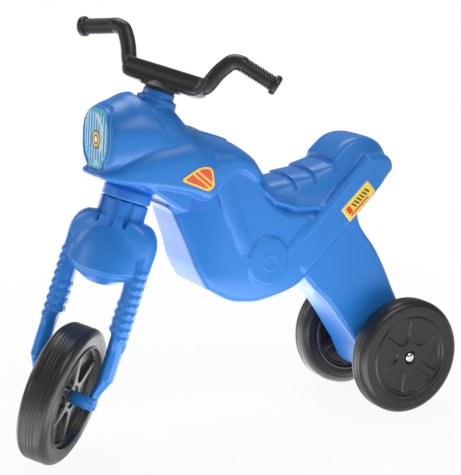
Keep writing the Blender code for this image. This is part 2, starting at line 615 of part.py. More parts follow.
def fork_leg(side):
    """One leg: bellows ribs outside, shorter ones inside, then a slimmer tip that bends inward."""
    half_rib = FORK_RIB_PITCH * 0.27
    rings = [(FORK_RIB_TOP + 0.026, FORK_LEG_INNER, FORK_HALF_WIDTH - 0.001, FORK_LEG_DEPTH, 0, 0)]
    for k in range(FORK_RIBS):
        t = FORK_RIB_TOP - k * FORK_RIB_PITCH
        low = t < FORK_WAIST
        inner = FORK_LOWER_INNER if low else FORK_LEG_INNER
        has_inner = FORK_INNER_RIB_FIRST <= k < FORK_RIBS - 1
        for dt, rise in ((half_rib + 0.0014, 0.0), (half_rib - 0.0006, 1.0), (-half_rib + 0.0006, 1.0)):
            rib = FORK_RIB_HEIGHT * rise
            rings.append((t + dt, inner, FORK_HALF_WIDTH - 0.001, FORK_LEG_DEPTH, rib,
                          rib * has_inner))
    tip = FRONT_AXLE_T - FORK_BOSS_RADIUS * 0.6
    rings += [(t - half_rib - 0.0014, FORK_LOWER_INNER, FORK_HALF_WIDTH - 0.001, FORK_LEG_DEPTH, 0, 0),
              (FORK_CHAMFER_TOP + 0.030, FORK_LOWER_INNER, FORK_HALF_WIDTH - 0.001, FORK_LOWER_DEPTH,
               0, 0),
              (FORK_CHAMFER_TOP, FORK_LOWER_INNER, FORK_HALF_WIDTH - 0.002, FORK_LOWER_DEPTH - 0.002,
               0, 0),
              (FRONT_AXLE_T + FORK_BOSS_RADIUS + 0.002, FORK_LOWER_INNER - 0.004, FORK_BOSS_OUTER,
               FORK_LOWER_DEPTH - 0.007, 0, 0),
              (tip, FORK_LOWER_INNER - 0.004, FORK_BOSS_OUTER - 0.002, FORK_LOWER_DEPTH - 0.011, 0, 0)]
    return loft("leg", [leg_ring(t, i, o, d, side, a, b) for t, i, o, d, a, b in rings])


def build_fork(material, parent):
    """Fork in one moulding: collar with flutes, crown, mudguard dome, ribbed legs and the stem."""
    drop = FORK_SHOULDER_DROP
    span = FORK_HALF_WIDTH - FORK_COLLAR_RADIUS
    leg_back = FORK_LEG_DEPTH / 2
    rings = []
    for down, wide, deep in ((0.0, 0.0, 1.0), (0.06, 0.42, 1.03), (0.24, 0.72, 1.0), (0.50, 0.92, 0.92),
                             (0.80, 1.0, 0.74), (1.12, 1.0, 0.45), (1.36, 0.97, 0.12)):
        half = FORK_COLLAR_RADIUS + span * wide
        depth = leg_back + (FORK_COLLAR_RADIUS - leg_back) * deep
        ring = []
        for k in range(RING):
            a = 2 * math.pi * (k + 0.5) / RING
            c, s = math.cos(a), math.sin(a)
            ring.append((half * math.copysign(abs(c) ** (1 - 0.3 * wide), c),
                         depth * math.copysign(abs(s) ** (1 - 0.3 * wide), s),
                         FORK_SHOULDER_TOP - drop * down))
        rings.append(ring)
    crown = loft("crown", rings)
    # Mudguard dome: swells forward and back from the crown to a sharp rim, then turns under
    rings = []
    for up, width, depth in ((1.0, 0.50, 0.80), (0.80, 0.74, 0.90), (0.57, 0.90, 0.97), (0.35, 0.97, 1.0),
                             (0.12, 1.0, 1.0), (0.0, 1.0, 1.0), (-0.04, 0.955, 0.94), (-0.50, 0.84, 0.80),
                             (-1.0, 0.52, 0.50)):
        t = DOME_RIM + (DOME_HEIGHT if up > 0 else DOME_UNDER) * up
        ring = []
        for k in range(RING):
            a = 2 * math.pi * (k + 0.5) / RING
            c, s = math.cos(a), math.sin(a)
            lift = 0.007 * c * c * min(1.0, max(0.0, 1.0 - 1.6 * up))
            ring.append((DOME_HALF_WIDTH * width * math.copysign(abs(c) ** 0.8, c),
                         DOME_DEPTH * depth * math.copysign(abs(s) ** 0.8, s), t + lift))
        rings.append(ring)
    dome = loft("dome", rings)
    root = FORK_SHOULDER_TOP - 0.0300
    collar = turned("collar", [(0, root - 0.015), (STEM_RADIUS, root - 0.015),
                               (FORK_COLLAR_RADIUS, root),
                               (FORK_COLLAR_RADIUS, FORK_COLLAR_TOP - 0.0015),
                               (FORK_COLLAR_RADIUS - 0.0015, FORK_COLLAR_TOP),
                               (STEM_RADIUS, FORK_COLLAR_TOP), (STEM_RADIUS, STEM_SHOULDER),
                               (0, STEM_SHOULDER)], RING)
    # Six-sided spigot that carries the handlebar round with the fork
    spigot = turned("spigot", [(0, STEM_SHOULDER - 0.004), (SPIGOT_RADIUS, STEM_SHOULDER - 0.004),
                               (SPIGOT_RADIUS, STEM_TOP - 0.001), (SPIGOT_RADIUS - 0.001, STEM_TOP),
                               (0, STEM_TOP)], 6)
    bosses = []
    for side in (1, -1):
        boss = turned("boss", [(0, side * FORK_BOSS_INNER), (FORK_BOSS_RADIUS, side * FORK_BOSS_INNER),
                               (FORK_BOSS_RADIUS, side * FORK_BOSS_OUTER),
                               (0, side * FORK_BOSS_OUTER)], ROUND, "X")
        bosses.append(transform(boss, Matrix.Translation((0, -AXLE_OFFSET, FRONT_AXLE_T))))
    fork = combine(crown, [dome, collar, spigot, fork_leg(1), fork_leg(-1)] + bosses)
    # Flutes down the collar, front and back
    cutters = []
    for face in (0, math.pi):
        for k in range(FLUTES):
            angle = face + (k - (FLUTES - 1) / 2) * FLUTE_SPACING
            flute = turned("flute", [(0, FLUTE_BOTTOM), (FLUTE_RADIUS, FLUTE_BOTTOM + 0.004),
                                     (FLUTE_RADIUS, FORK_COLLAR_TOP + 0.01),
                                     (0, FORK_COLLAR_TOP + 0.01)], 8)
            out = FORK_COLLAR_RADIUS + 0.0008
            cutters.append(transform(flute, Matrix.Translation((out * math.sin(angle),
                                                                -out * math.cos(angle), 0))))
    # Bolt hole up through the stem, with a well for the head under the dome
    hole = turned("hole", [(0, DOME_BOTTOM - 0.01), (BOLT_WELL_RADIUS, DOME_BOTTOM - 0.01),
                           (BOLT_WELL_RADIUS, BOLT_WELL_TOP), (BOLT_RADIUS + TOUCH_GAP, BOLT_WELL_TOP),
                           (BOLT_RADIUS + TOUCH_GAP, STEM_TOP + 0.01), (0, STEM_TOP + 0.01)], ROUND)
    cutters.append(hole)
    # Axle holes, each with a well for its retainer
    for side in (1, -1):
        well = side * (FORK_BOSS_OUTER - RETAINER_WELL)
        bore = turned("bore", [(0, side * 0.005), (AXLE_RADIUS + TOUCH_GAP, side * 0.005),
                               (AXLE_RADIUS + TOUCH_GAP, well), (RETAINER_RADIUS + TOUCH_GAP, well),
                               (RETAINER_RADIUS + TOUCH_GAP, side * 0.07), (0, side * 0.07)],
                      SMALL_ROUND, "X")
        cutters.append(transform(bore, Matrix.Translation((0, -AXLE_OFFSET, FRONT_AXLE_T))))
    combine(fork, cutters, "DIFFERENCE")
    return finish(fork, "fork", material, parent)


def bar_path(side):
    """The tube's centre line, from inside the block up, out and down to the grip's end."""
    middle = BAR_BLOCK_HEIGHT * 0.5
    x, y, z = GRIP_START
    points = [(BAR_BLOCK_HALF - 0.0160, 0.0130, middle), (BAR_BLOCK_HALF - 0.0040, 0.0130, middle + 0.0015),
              (BAR_BLOCK_HALF * 0.55 + x * 0.36, 0.0135, middle * 0.45 + z * 0.42),
              (BAR_BLOCK_HALF * 0.30 + x * 0.60, 0.0145, z - 0.0110), (x - 0.0105, y - 0.0020, z - 0.0018),
              GRIP_START]
    return [Vector((side * p[0], p[1], BAR_BLOCK_BOTTOM + p[2])) for p in curve_through(points, 9)]


def tube_rings(path, radii, sides=9):
    """Round rings square to a path, one radius for each point."""
    rings = []
    for k, point in enumerate(path):
        along = (path[min(k + 1, len(path) - 1)] - path[max(k - 1, 0)]).normalized()
        back = Vector((0, 1, 0))
        across = along.cross(back).normalized()
        back = across.cross(along).normalized()
        rings.append([point + radii[k] * (across * math.cos(2 * math.pi * q / sides)
                                          + back * math.sin(2 * math.pi * q / sides))
                      for q in range(sides)])
    return rings


def build_handlebar(material, parent):
    """Handlebar in one moulding: block, skirt over the neck, two bent tubes and ribbed grips."""
    middle = (BAR_BLOCK_DEPTH / 2) - BAR_BLOCK_FRONT
    height = BAR_BLOCK_TOP - BAR_BLOCK_BOTTOM
    rings = []
    for x, depth, low in ((-1.0, 0.62, 0.45), (-0.97, 0.80, 0.25), (-0.86, 0.97, 0.05), (-0.6, 1.0, 0.0),
                          (0.6, 1.0, 0.0), (0.86, 0.97, 0.05), (0.97, 0.80, 0.25), (1.0, 0.62, 0.45)):
        d = BAR_BLOCK_DEPTH / 2 * depth
        bottom = BAR_BLOCK_BOTTOM + height * low
        ring = [(-d * 0.96, BAR_BLOCK_TOP), (d * 0.96, BAR_BLOCK_TOP), (d, BAR_BLOCK_TOP - 0.0012),
                (d, bottom + (BAR_BLOCK_TOP - bottom) * 0.50), (d * 0.88, bottom + height * 0.16),
                (d * 0.62, bottom), (-d * 0.62, bottom), (-d * 0.88, bottom + height * 0.16),
                (-d, bottom + (BAR_BLOCK_TOP - bottom) * 0.50), (-d, BAR_BLOCK_TOP - 0.0012)]
        rings.append([(BAR_BLOCK_HALF * x, middle + y, z) for y, z in ring])
    block = loft("block", rings)
    lip = SKIRT_BOTTOM + BAR_SKIRT_HEIGHT
    skirt = turned("skirt", [(0, SKIRT_BOTTOM), (BAR_SKIRT_RADIUS - 0.0008, SKIRT_BOTTOM),
                             (BAR_SKIRT_RADIUS, SKIRT_BOTTOM + 0.0008), (BAR_SKIRT_RADIUS, lip - 0.0006),
                             (BAR_SKIRT_RADIUS - 0.0040, lip + 0.0010),
                             (BAR_SKIRT_RADIUS - 0.0050, BAR_BLOCK_BOTTOM + 0.004),
                             (0, BAR_BLOCK_BOTTOM + 0.004)], RING)
    tubes = []
    for side in (1, -1):
        path = bar_path(side)
        radii = [BAR_TUBE_RADIUS] * len(path)
        start = path[-1]
        end = Vector((side * GRIP_END[0], GRIP_END[1], BAR_BLOCK_BOTTOM + GRIP_END[2]))
        along = (end - start).normalized()
        length = (end - start).length - GRIP_FLANGE_LENGTH
        for k in range(1, 2 * GRIP_RIBS + 1):
            path.append(start + along * (length * k / (2 * GRIP_RIBS)))
            radii.append(GRIP_RADIUS if k % 2 else GRIP_RIB_RADIUS)
        for step, radius in ((0.0004, GRIP_FLANGE_RADIUS - 0.0012), (0.0018, GRIP_FLANGE_RADIUS),
                             (GRIP_FLANGE_LENGTH - 0.0014, GRIP_FLANGE_RADIUS),
                             (GRIP_FLANGE_LENGTH, GRIP_FLANGE_RADIUS - 0.0016)):
            path.append(start + along * (length + step))
            radii.append(radius)
        tubes.append(loft("tube", tube_rings(path, radii)))
    bar = combine(block, [skirt] + tubes)
    # Socket for the stem, bolt hole, and a well for the nut under the cover
    socket = turned("socket", [(0, SKIRT_BOTTOM - 0.01), (STEM_RADIUS + TOUCH_GAP, SKIRT_BOTTOM - 0.01),
                               (STEM_RADIUS + TOUCH_GAP, STEM_SHOULDER + TOUCH_GAP),
                               (BOLT_RADIUS + TOUCH_GAP, STEM_SHOULDER + TOUCH_GAP),
                               (BOLT_RADIUS + TOUCH_GAP, BAR_FLOOR_TOP),
                               (BOLT_WELL_RADIUS, BAR_FLOOR_TOP), (BOLT_WELL_RADIUS, COVER_SEAT + 0.004),
                               (0, COVER_SEAT + 0.004)], RING)
    seat = loft("seat", [cover_ring(t, COVER_HALF_WIDTH + TOUCH_GAP, COVER_HALF_DEPTH + TOUCH_GAP)
                         for t in (COVER_SEAT, BAR_BLOCK_TOP + 0.005)])
    hexagon = turned("hexagon", [(0, STEM_SHOULDER - 0.004), (SPIGOT_RADIUS + 0.0004, STEM_SHOULDER - 0.004),
                                 (SPIGOT_RADIUS + 0.0004, STEM_TOP + TOUCH_GAP),
                                 (0, STEM_TOP + TOUCH_GAP)], 6)
    combine(bar, [socket, hexagon, seat], "DIFFERENCE")
    return finish(bar, "handlebar", material, parent)


def cover_ring(t, half_width, half_depth):
    """An outline with round ends for the cover and its seat."""
    middle = (BAR_BLOCK_DEPTH / 2) - BAR_BLOCK_FRONT
    ring = []
    for side in (1, -1):
        for k in range(9):
            a = math.pi * (k / 8 - 0.5)
            ring.append((side * (half_width - half_depth + half_depth * math.cos(a)),
                         middle + side * half_depth * math.sin(a), t))
    return ring


def build_wheel(name, material, parent, radius, width, rim, dish, pocket_depth, hub_half, wells,
                roll=0.0):
    """A moulded wheel: tyre with round shoulders, rim bead, dished web with pockets, and a hub."""
    half = width / 2
    web = half - dish
    bore = AXLE_RADIUS + RUNNING_GAP
    edge = [(bore, hub_half), (HUB_RADIUS, hub_half), (HUB_RADIUS + 0.0006, web),
            (rim - 0.0035, web), (rim, half - 0.0012), (rim + RIM_BEAD / 2, half),
            (rim + RIM_BEAD + 0.0015, half - 0.0012)]
    edge += tyre_shoulder(radius, half)
    profile = edge + [(r, -x) for r, x in reversed(edge)]
    wheel = turned(name, profile, WHEEL_ROUND, "X", True)
    cutters = []
    inner = HUB_RADIUS + 0.006
    outer = rim - 0.0075
    spread = math.pi / SPOKES - 0.115
    for side in (1, -1):
        for k in range(SPOKES):
            middle = 2 * math.pi * k / SPOKES
            outline = []
            for step in range(3):
                a = middle + spread * (step - 1)
                outline.append((outer * math.cos(a), outer * math.sin(a)))
            outline.append(((inner + 0.006) * math.cos(middle + spread * 0.62),
                            (inner + 0.006) * math.sin(middle + spread * 0.62)))
            outline.append((inner * math.cos(middle), inner * math.sin(middle)))
            outline.append(((inner + 0.006) * math.cos(middle - spread * 0.62),
                            (inner + 0.006) * math.sin(middle - spread * 0.62)))
            floor = [tuple(p) for p in inset_outline(outline, 0.0015)]
            cutters.append(loft("pocket", [[(side * (web + 0.002), y, z) for y, z in outline],
                                           [(side * (web - pocket_depth), y, z) for y, z in floor]]))
    for side in wells:
        floor = side * (half - CAP_WELL_DEPTH)
        cutters.append(turned("well", [(0, floor), (CAP_WELL_RADIUS, floor),
                                       (CAP_WELL_RADIUS, side * (half + 0.01)),
                                       (0, side * (half + 0.01))], ROUND, "X"))
    combine(wheel, cutters, "DIFFERENCE")
    transform(wheel, Matrix.Rotation(roll, 4, "X"))
    return finish(wheel, name, material, parent)


def build_rod(name, radius, half, material, parent):
    """A plain steel rod along X with chamfered ends."""
    rod = turned(name, [(0, -half), (radius - 0.0005, -half), (radius, -half + 0.0005),
                        (radius, half - 0.0005), (radius - 0.0005, half), (0, half)], SMALL_ROUND, "X")
    return finish(rod, name, material, parent)


def build_washer(name, bore, radius, low, high, material, parent, axis="X"):
    washer = turned(name, [(bore, low), (radius, low), (radius, high), (bore, high)], SMALL_ROUND, axis)
    return finish(washer, name, material, parent)


def build_hex(name, radius, low, high, bore, material, parent, shank=None):
    """A hexagon head or nut on the steering axis; a bolt also has a shank and no bore."""
    hexagon = turned(name, [(0, low), (radius - 0.0006, low), (radius, low + 0.0006),
                            (radius, high - 0.0006), (radius - 0.0006, high), (0, high)], 6)
    if shank is not None:
        top = turned("shank", [(0, high - 0.001), (BOLT_RADIUS, high - 0.001),
                               (BOLT_RADIUS, shank - 0.0006), (BOLT_RADIUS - 0.0006, shank),
                               (0, shank)], SMALL_ROUND)
        combine(hexagon, [top])
    else:
        hole = turned("hole", [(0, low - 0.01), (bore, low - 0.01), (bore, high + 0.01),
                               (0, high + 0.01)], SMALL_ROUND)
        combine(hexagon, [hole], "DIFFERENCE")
    return finish(hexagon, name, material, parent)


def build_bush(name, flange_face, sleeve_end, material, parent):
    """A flanged bearing sleeve in the neck's end, round the fork's stem."""
    sign = 1 if sleeve_end > flange_face else -1
    bore = STEM_RADIUS + RUNNING_GAP
    shelf = flange_face + sign * BUSH_FLANGE
    bush = turned(name, [(bore, flange_face), (BUSH_FLANGE_RADIUS, flange_face),
                         (BUSH_FLANGE_RADIUS, shelf), (BUSH_OUTER, shelf), (BUSH_OUTER, sleeve_end),
                         (bore, sleeve_end)], RING)
    return finish(bush, name, material, parent)


def build_cap(name, side, material, parent):
    """A bright domed push cap over the axle's end."""
    base = CAP_WELL_FLOOR + WASHER_THICKNESS + 2 * TOUCH_GAP
    inner = AXLE_RADIUS + TOUCH_GAP
    profile = [(inner, base), (CAP_RADIUS + 0.0008, base), (CAP_RADIUS + 0.0008, base + 0.0009),
               (CAP_RADIUS, base + 0.0012), (CAP_RADIUS, base + CAP_LENGTH - 0.0030),
               (CAP_RADIUS * 0.80, base + CAP_LENGTH - 0.0010),
               (CAP_RADIUS * 0.42, base + CAP_LENGTH - 0.0002), (0, base + CAP_LENGTH),
               (0, base + CAP_LENGTH - CAP_WALL), (inner, base + CAP_LENGTH - CAP_WALL - 0.0012)]
    cap = turned(name, [(r, side * x) for r, x in profile], SMALL_ROUND, "X")
    return finish(cap, name, material, parent)


def empty(name, matrix, parent=None):
    frame = bpy.data.objects.new(name, None)
    bpy.context.scene.collection.objects.link(frame)
    frame.empty_display_size = 0.05
    frame.parent = parent
    frame.matrix_world = matrix
    bpy.context.view_layer.update()
    return frame


def centre_on_origin():
    """Moves the whole toy so that the origin is the middle of its length and width, on the floor."""
    bpy.context.view_layer.update()
    corners = []
    for obj in bpy.data.objects:
        if obj.type == "MESH":
            corners += [obj.matrix_world @ v.co for v in obj.data.vertices]
    middle_x = (min(p.x for p in corners) + max(p.x for p in corners)) / 2
    middle_y = (min(p.y for p in corners) + max(p.y for p in corners)) / 2
    for obj in bpy.data.objects:
        if obj.parent is None:
            obj.location.x -= middle_x
            obj.location.y -= middle_y
    bpy.context.view_layer.update()


def main():
    clear_scene()
    blue = make_material("blue_plastic", BLUE, 0.38, 0.0)
    black = make_material("black_plastic", BLACK, 0.42, 0.0)
    wheel_black = make_material("wheel_plastic", GREY_BLACK, 0.48, 0.0)
    chrome = make_material("bright_cap", CHROME, 0.15, 1.0)
    steel = make_material("zinc_steel", STEEL, 0.35, 1.0)
    bearing = make_material("bearing_plastic", DARK, 0.5, 0.0)
    build_body(blue)
    # The steering turns about this empty's Z; the front axle lies along the next one's X
    steering = empty("steering_axis", steering_matrix(STEER_REST))
    front = empty("front_axle_axis", steering_matrix(STEER_REST)
                  @ Matrix.Translation((0, -AXLE_OFFSET, FRONT_AXLE_T)), steering)
    rear = empty("rear_axle_axis", Matrix.Translation((0, 0, REAR_WHEEL_RADIUS)))
    build_fork(blue, steering)
    build_handlebar(black, steering)
    cover = loft("cover", [cover_ring(t, COVER_HALF_WIDTH, COVER_HALF_DEPTH)
                           for t in (COVER_SEAT + TOUCH_GAP, COVER_SEAT + TOUCH_GAP + COVER_THICKNESS)])
    finish(cover, "handlebar_cover", black, steering)
    head_top = BOLT_WELL_TOP - BOLT_WASHER_THICKNESS - 2 * TOUCH_GAP
    bolt_hole = BOLT_RADIUS + TOUCH_GAP
    build_hex("steering_bolt", BOLT_HEAD_RADIUS, head_top - BOLT_HEAD_HEIGHT, head_top, 0, steel,
              steering, NUT_TOP + 0.0006)
    build_washer("steering_bolt_washer", bolt_hole, BOLT_WASHER_RADIUS, head_top + TOUCH_GAP,
                 head_top + TOUCH_GAP + BOLT_WASHER_THICKNESS, steel, steering, "Z")
    build_washer("steering_nut_washer", bolt_hole, BOLT_WASHER_RADIUS, BAR_FLOOR_TOP + TOUCH_GAP,
                 BAR_FLOOR_TOP + TOUCH_GAP + BOLT_WASHER_THICKNESS, steel, steering, "Z")
    build_hex("steering_nut", BOLT_HEAD_RADIUS, NUT_BOTTOM, NUT_TOP, bolt_hole, steel, steering)
    neck = empty("neck_axis", steering_matrix(0))
    build_bush("neck_bush_lower", NECK_BOTTOM - TOUCH_GAP - BUSH_FLANGE,
               NECK_BOTTOM + BUSH_LENGTH - TOUCH_GAP, bearing, neck)
    build_bush("neck_bush_upper", NECK_TOP + TOUCH_GAP + BUSH_FLANGE,
               NECK_TOP - BUSH_LENGTH + TOUCH_GAP, bearing, neck)
    # A facet of the tyre lies on the floor
    down = steering_matrix(STEER_REST).to_3x3().transposed() @ Vector((0, 0, -1))
    front_roll = math.atan2(down.z, down.y) + math.pi / 2
    build_wheel("front_wheel", wheel_black, front, FRONT_WHEEL_RADIUS, FRONT_WHEEL_WIDTH,
                FRONT_RIM_RADIUS, FRONT_DISH, FRONT_POCKET_DEPTH, FRONT_HUB_HALF, (), front_roll)
    build_rod("front_axle", AXLE_RADIUS, FORK_BOSS_OUTER - RETAINER_WELL + 0.002, steel, front)
    axle_hole = AXLE_RADIUS + TOUCH_GAP
    for side, label in ((1, "left"), (-1, "right")):
        start = FORK_BOSS_OUTER - RETAINER_WELL + TOUCH_GAP
        build_washer("front_retainer_" + label, axle_hole, RETAINER_RADIUS, side * start,
                     side * (start + WASHER_THICKNESS), steel, front)
        start = FORK_BOSS_INNER - TOUCH_GAP
        build_washer("front_washer_" + label, axle_hole, WASHER_RADIUS, side * start,
                     side * (start - WASHER_THICKNESS), steel, front)
        hub = empty("rear_hub_" + label, Matrix.Translation((side * REAR_TRACK / 2, 0,
                                                             REAR_WHEEL_RADIUS)), rear)
        build_wheel("rear_wheel_" + label, wheel_black, hub, REAR_WHEEL_RADIUS, REAR_WHEEL_WIDTH,
                    REAR_RIM_RADIUS, REAR_DISH, REAR_POCKET_DEPTH, REAR_WHEEL_WIDTH / 2, (side,))
        start = BOSS_HALF + TOUCH_GAP
        build_washer("rear_inner_washer_" + label, axle_hole, WASHER_RADIUS, side * start,
                     side * (start + WASHER_THICKNESS), steel, rear)
        start = CAP_WELL_FLOOR + RUNNING_GAP
        build_washer("rear_outer_washer_" + label, axle_hole, WASHER_RADIUS, side * start,
                     side * (start + WASHER_THICKNESS), steel, rear)
        build_cap("rear_axle_cap_" + label, side, chrome, rear)
    cap_end = CAP_WELL_FLOOR + WASHER_THICKNESS + 2 * TOUCH_GAP + CAP_LENGTH - CAP_WALL - 0.0016
    build_rod("rear_axle", AXLE_RADIUS, cap_end, steel, rear)
    centre_on_origin()


main()
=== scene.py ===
"""Looks of the three-wheel ride-on motorcycle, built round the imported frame.

Forms are drawn in metres in the same two frames as the solids: the body frame, with the floor at Z = 0
under the middle of the rear axle, +X to the left and the toy facing -Y, and the steering frame, with X to
the left, Y back and Z up along the steering axis.
"""
import math

import bmesh
import bpy
import numpy as np
from mathutils import Matrix, Vector
from mathutils.bvhtree import BVHTree


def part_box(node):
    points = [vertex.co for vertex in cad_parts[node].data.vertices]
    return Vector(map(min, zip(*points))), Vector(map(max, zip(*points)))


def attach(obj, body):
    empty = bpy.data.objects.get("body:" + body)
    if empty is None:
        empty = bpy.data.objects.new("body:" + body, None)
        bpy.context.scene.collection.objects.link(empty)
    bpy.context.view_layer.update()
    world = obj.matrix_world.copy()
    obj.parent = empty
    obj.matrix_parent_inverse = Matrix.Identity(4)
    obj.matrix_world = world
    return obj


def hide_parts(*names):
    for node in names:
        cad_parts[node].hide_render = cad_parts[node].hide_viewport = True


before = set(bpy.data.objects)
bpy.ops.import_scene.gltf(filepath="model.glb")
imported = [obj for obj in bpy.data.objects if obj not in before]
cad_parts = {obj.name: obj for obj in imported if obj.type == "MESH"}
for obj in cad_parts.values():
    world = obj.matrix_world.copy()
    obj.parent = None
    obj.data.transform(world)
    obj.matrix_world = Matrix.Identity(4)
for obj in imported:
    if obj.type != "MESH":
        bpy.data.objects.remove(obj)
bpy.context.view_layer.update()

axle_low, axle_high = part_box("rear_axle")
ORIGIN = Vector(((axle_low.x + axle_high.x) / 2, (axle_low.y + axle_high.y) / 2, 0))
TO_WORLD = Matrix.Translation(ORIGIN)

# Steering axis: where it meets the floor ahead of the rear axle, its lean and its turn at rest
STEER_FOOT = 0.5317
CASTER = math.radians(21.2)
STEER_REST = math.radians(43.9)


def steering_matrix(turn):
    return (Matrix.Translation((0, -STEER_FOOT, 0)) @ Matrix.Rotation(-CASTER, 4, "X")
        @ Matrix.Rotation(turn, 4, "Z"))


SIDES = ((1, "left"), (-1, "right"))
NECK_FRAME = steering_matrix(0)
STEER_FRAME = steering_matrix(STEER_REST)
STEER_WORLD = TO_WORLD @ STEER_FRAME
# Where the steering axis passes the cowl's top, from which the front forms are measured
HEAD_Y = (NECK_FRAME @ Vector((0, 0, 0.496))).y

# Heights along the steering axis
NECK_BOTTOM = 0.371
NECK_TOP = NECK_BOTTOM + 0.148
COLLAR_TOP = NECK_TOP - 0.01
COLLAR_BOTTOM = COLLAR_TOP - 0.01
SKIRT_BOTTOM = NECK_TOP + 0.0024
SKIRT_TOP = SKIRT_BOTTOM + 0.0022
BLOCK_BOTTOM = SKIRT_TOP + 0.0055
BLOCK_HEIGHT = 0.0225
BLOCK_TOP = BLOCK_BOTTOM + BLOCK_HEIGHT
FORK_COLLAR_TOP = NECK_BOTTOM - 0.0024
FORK_SHOULDER = FORK_COLLAR_TOP - 0.0216
FRONT_AXLE = 0.100217

# Fork: its half-width, its collar, the ribs down its legs, and how far the axle lies ahead of the axis
FORK_HALF = 0.061
COLLAR_RADIUS = 0.0324
STEM_RADIUS = 0.015
RIBS = 9
RIB_PITCH = 0.0113
RIB_TOP = FORK_SHOULDER - 0.063
WAIST = RIB_TOP - 7.5 * RIB_PITCH
AXLE_OFFSET = 0.0055
AXLE_FRAME = STEER_WORLD @ Matrix.Translation((0, -AXLE_OFFSET, FRONT_AXLE))

# Half-widths of the body's forms
COWL_HALF = 0.055
FAIRING_HALF = 0.063
TANK_HALF = 0.06
ENGINE_HALF = 0.051
NOSE_HALF = 0.036
SEAT_HALF = 0.037
SKIRT_HALF = 0.0517
SEAT_REAR_HALF = 0.0532
BAND_HALF = 0.0542
LEG_HALF = 0.0395
LEG_FOOT_HALF = 0.048

# Disc cover on each side of the engine, and the ring on it, as (y, z)
DISC = (-0.2105, 0.243)
DISC_RADIUS = 0.031
DISC_HALF = 0.054
DISC_RING = (-0.208, 0.244)

# Wheels and the rear axle
REAR_AXLE = 0.083
REAR_RADIUS = 0.083
REAR_WIDTH = 0.034
REAR_MIDDLE = 0.0765
FRONT_RADIUS = 0.0952
FRONT_WIDTH = 0.045
POCKETS = 6
CAP_WELL = 0.008

# Handlebar: its block, its tubes, and the grips' ends measured from the block's bottom
BLOCK_HALF = 0.0585
BLOCK_HALF_DEPTH = 0.023
BLOCK_MIDDLE = 0.011
BAR_RADIUS = 0.0105
GRIP_START = np.array((0.0893, 0.0172, 0.0561))
GRIP_END = np.array((0.1432, 0.032, 0.0416))
GRIP_RIBS = 13


# Mesh helpers

def curve(points, count):
    """Evenly counted points on a smooth curve through the given ones."""
    pts = np.array(points, float)
    padded = np.vstack([2 * pts[0] - pts[1], pts, 2 * pts[-1] - pts[-2]])
    u = np.linspace(0, len(pts) - 1, count)
    i = np.minimum(u.astype(int), len(pts) - 2)
    t = (u - i)[:, None]
    a, b, c, d = (padded[i + k] for k in range(4))
    return 0.5 * (2 * b + (c - a) * t + (2 * a - 5 * b + 4 * c - d) * t ** 2
        + (3 * b - a - 3 * c + d) * t ** 3)


def arc(centre, radius, start, end, count):
    """Points round a centre, from one angle in degrees to another."""
    a = np.radians(np.linspace(start, end, count + 1))
    return [(centre[0] + radius * math.cos(t), centre[1] + radius * math.sin(t)) for t in a]


def full_turn(count, shift=0):
    """Cosines and sines of evenly spaced angles round a circle."""
    a = 2 * np.pi * (np.arange(count) + shift) / count
    return np.cos(a), np.sin(a)


def ramp(x, start, end):
    """0 before start, 1 past end, and straight between them."""
    return np.clip((x - start) / (end - start), 0, 1)


def ease(x, start, end):
    """A ramp with soft ends."""
    t = ramp(x, start, end)
    return t * t * (3 - 2 * t)


def bump(distance, width):
    """1 on the line, 0 from width on."""
    return 1 - ease(distance, 0, width)


def squared(value, power):
    """A cosine or sine raised to a power, which makes a circle squarer below 1."""
    return np.sign(value) * np.abs(value) ** power


def loft(rings, closed=False):
    """Vertices and faces through rings of the same length, with a fan at each end unless it closes."""
    rings = np.array(rings, float)
    n, m = rings.shape[:2]
    verts = rings.reshape(-1, 3)
    i, j = np.meshgrid(np.arange(n if closed else n - 1), np.arange(m), indexing="ij")
    nxt = (i + 1) % n
    k = (j + 1) % m
    faces = np.stack([i * m + j, i * m + k, nxt * m + k, nxt * m + j], -1).reshape(-1, 4).tolist()
    if not closed:
        verts = np.vstack([verts, rings[0].mean(0), rings[-1].mean(0)])
        first, last = n * m, n * m + 1
        for q in range(m):
            faces.append([first, (q + 1) % m, q])
            faces.append([last, (n - 1) * m + q, (n - 1) * m + (q + 1) % m])
    return verts, faces


def turned(profile, segments=96, axis="Z"):
    """A ring of revolution from a closed (radius, height) profile. Zero radii make poles."""
    c, s = full_turn(segments)
    p = np.array(profile, float)
    r = np.maximum(p[:, 0], 1e-5)[None, :]
    ca, sa = r * c[:, None], r * s[:, None]
    h = np.broadcast_to(p[:, 1][None, :], ca.shape)
    rings = np.stack([h, ca, sa] if axis == "X" else [ca, sa, h], -1)
    return loft(rings, closed=True)


def headings(path):
    """The path's unit direction at each of its points."""
    steps = np.vstack([path[1] - path[0], path[2:] - path[:-2], path[-1] - path[-2]])
    return steps / np.linalg.norm(steps, axis=1)[:, None]


def tube(path, along, radii, sides):
    """A tube along a path with its directions. A radius may differ round the tube."""
    c, s = full_turn(sides)
    rings = []
    for point, heading, radius in zip(path, along, radii):
        across = np.cross(heading, (0, 1, 0))
        across /= np.linalg.norm(across)
        back = np.cross(across, heading)
        rings.append(point + np.reshape(radius, (-1, 1)) * (c[:, None] * across + s[:, None] * back))
    return loft(rings)


def inset_outline(outline, depth):
    """The outline moved inwards by depth, along the bisector at each corner."""
    pts = [Vector(p) for p in outline]
    n = len(pts)
    area = sum(pts[i].x * pts[(i + 1) % n].y - pts[(i + 1) % n].x * pts[i].y for i in range(n))
    turn = 1 if area > 0 else -1
    out = []
    for i in range(n):
        before = (pts[i] - pts[i - 1]).normalized()
        after = (pts[(i + 1) % n] - pts[i]).normalized()
        inward = Vector((-(before.y + after.y), before.x + after.x)) * turn
        inward.normalize()
        slant = max(0.55, inward.dot(Vector((-after.y, after.x)) * turn))
        out.append(pts[i] + inward * depth / slant)
    return out


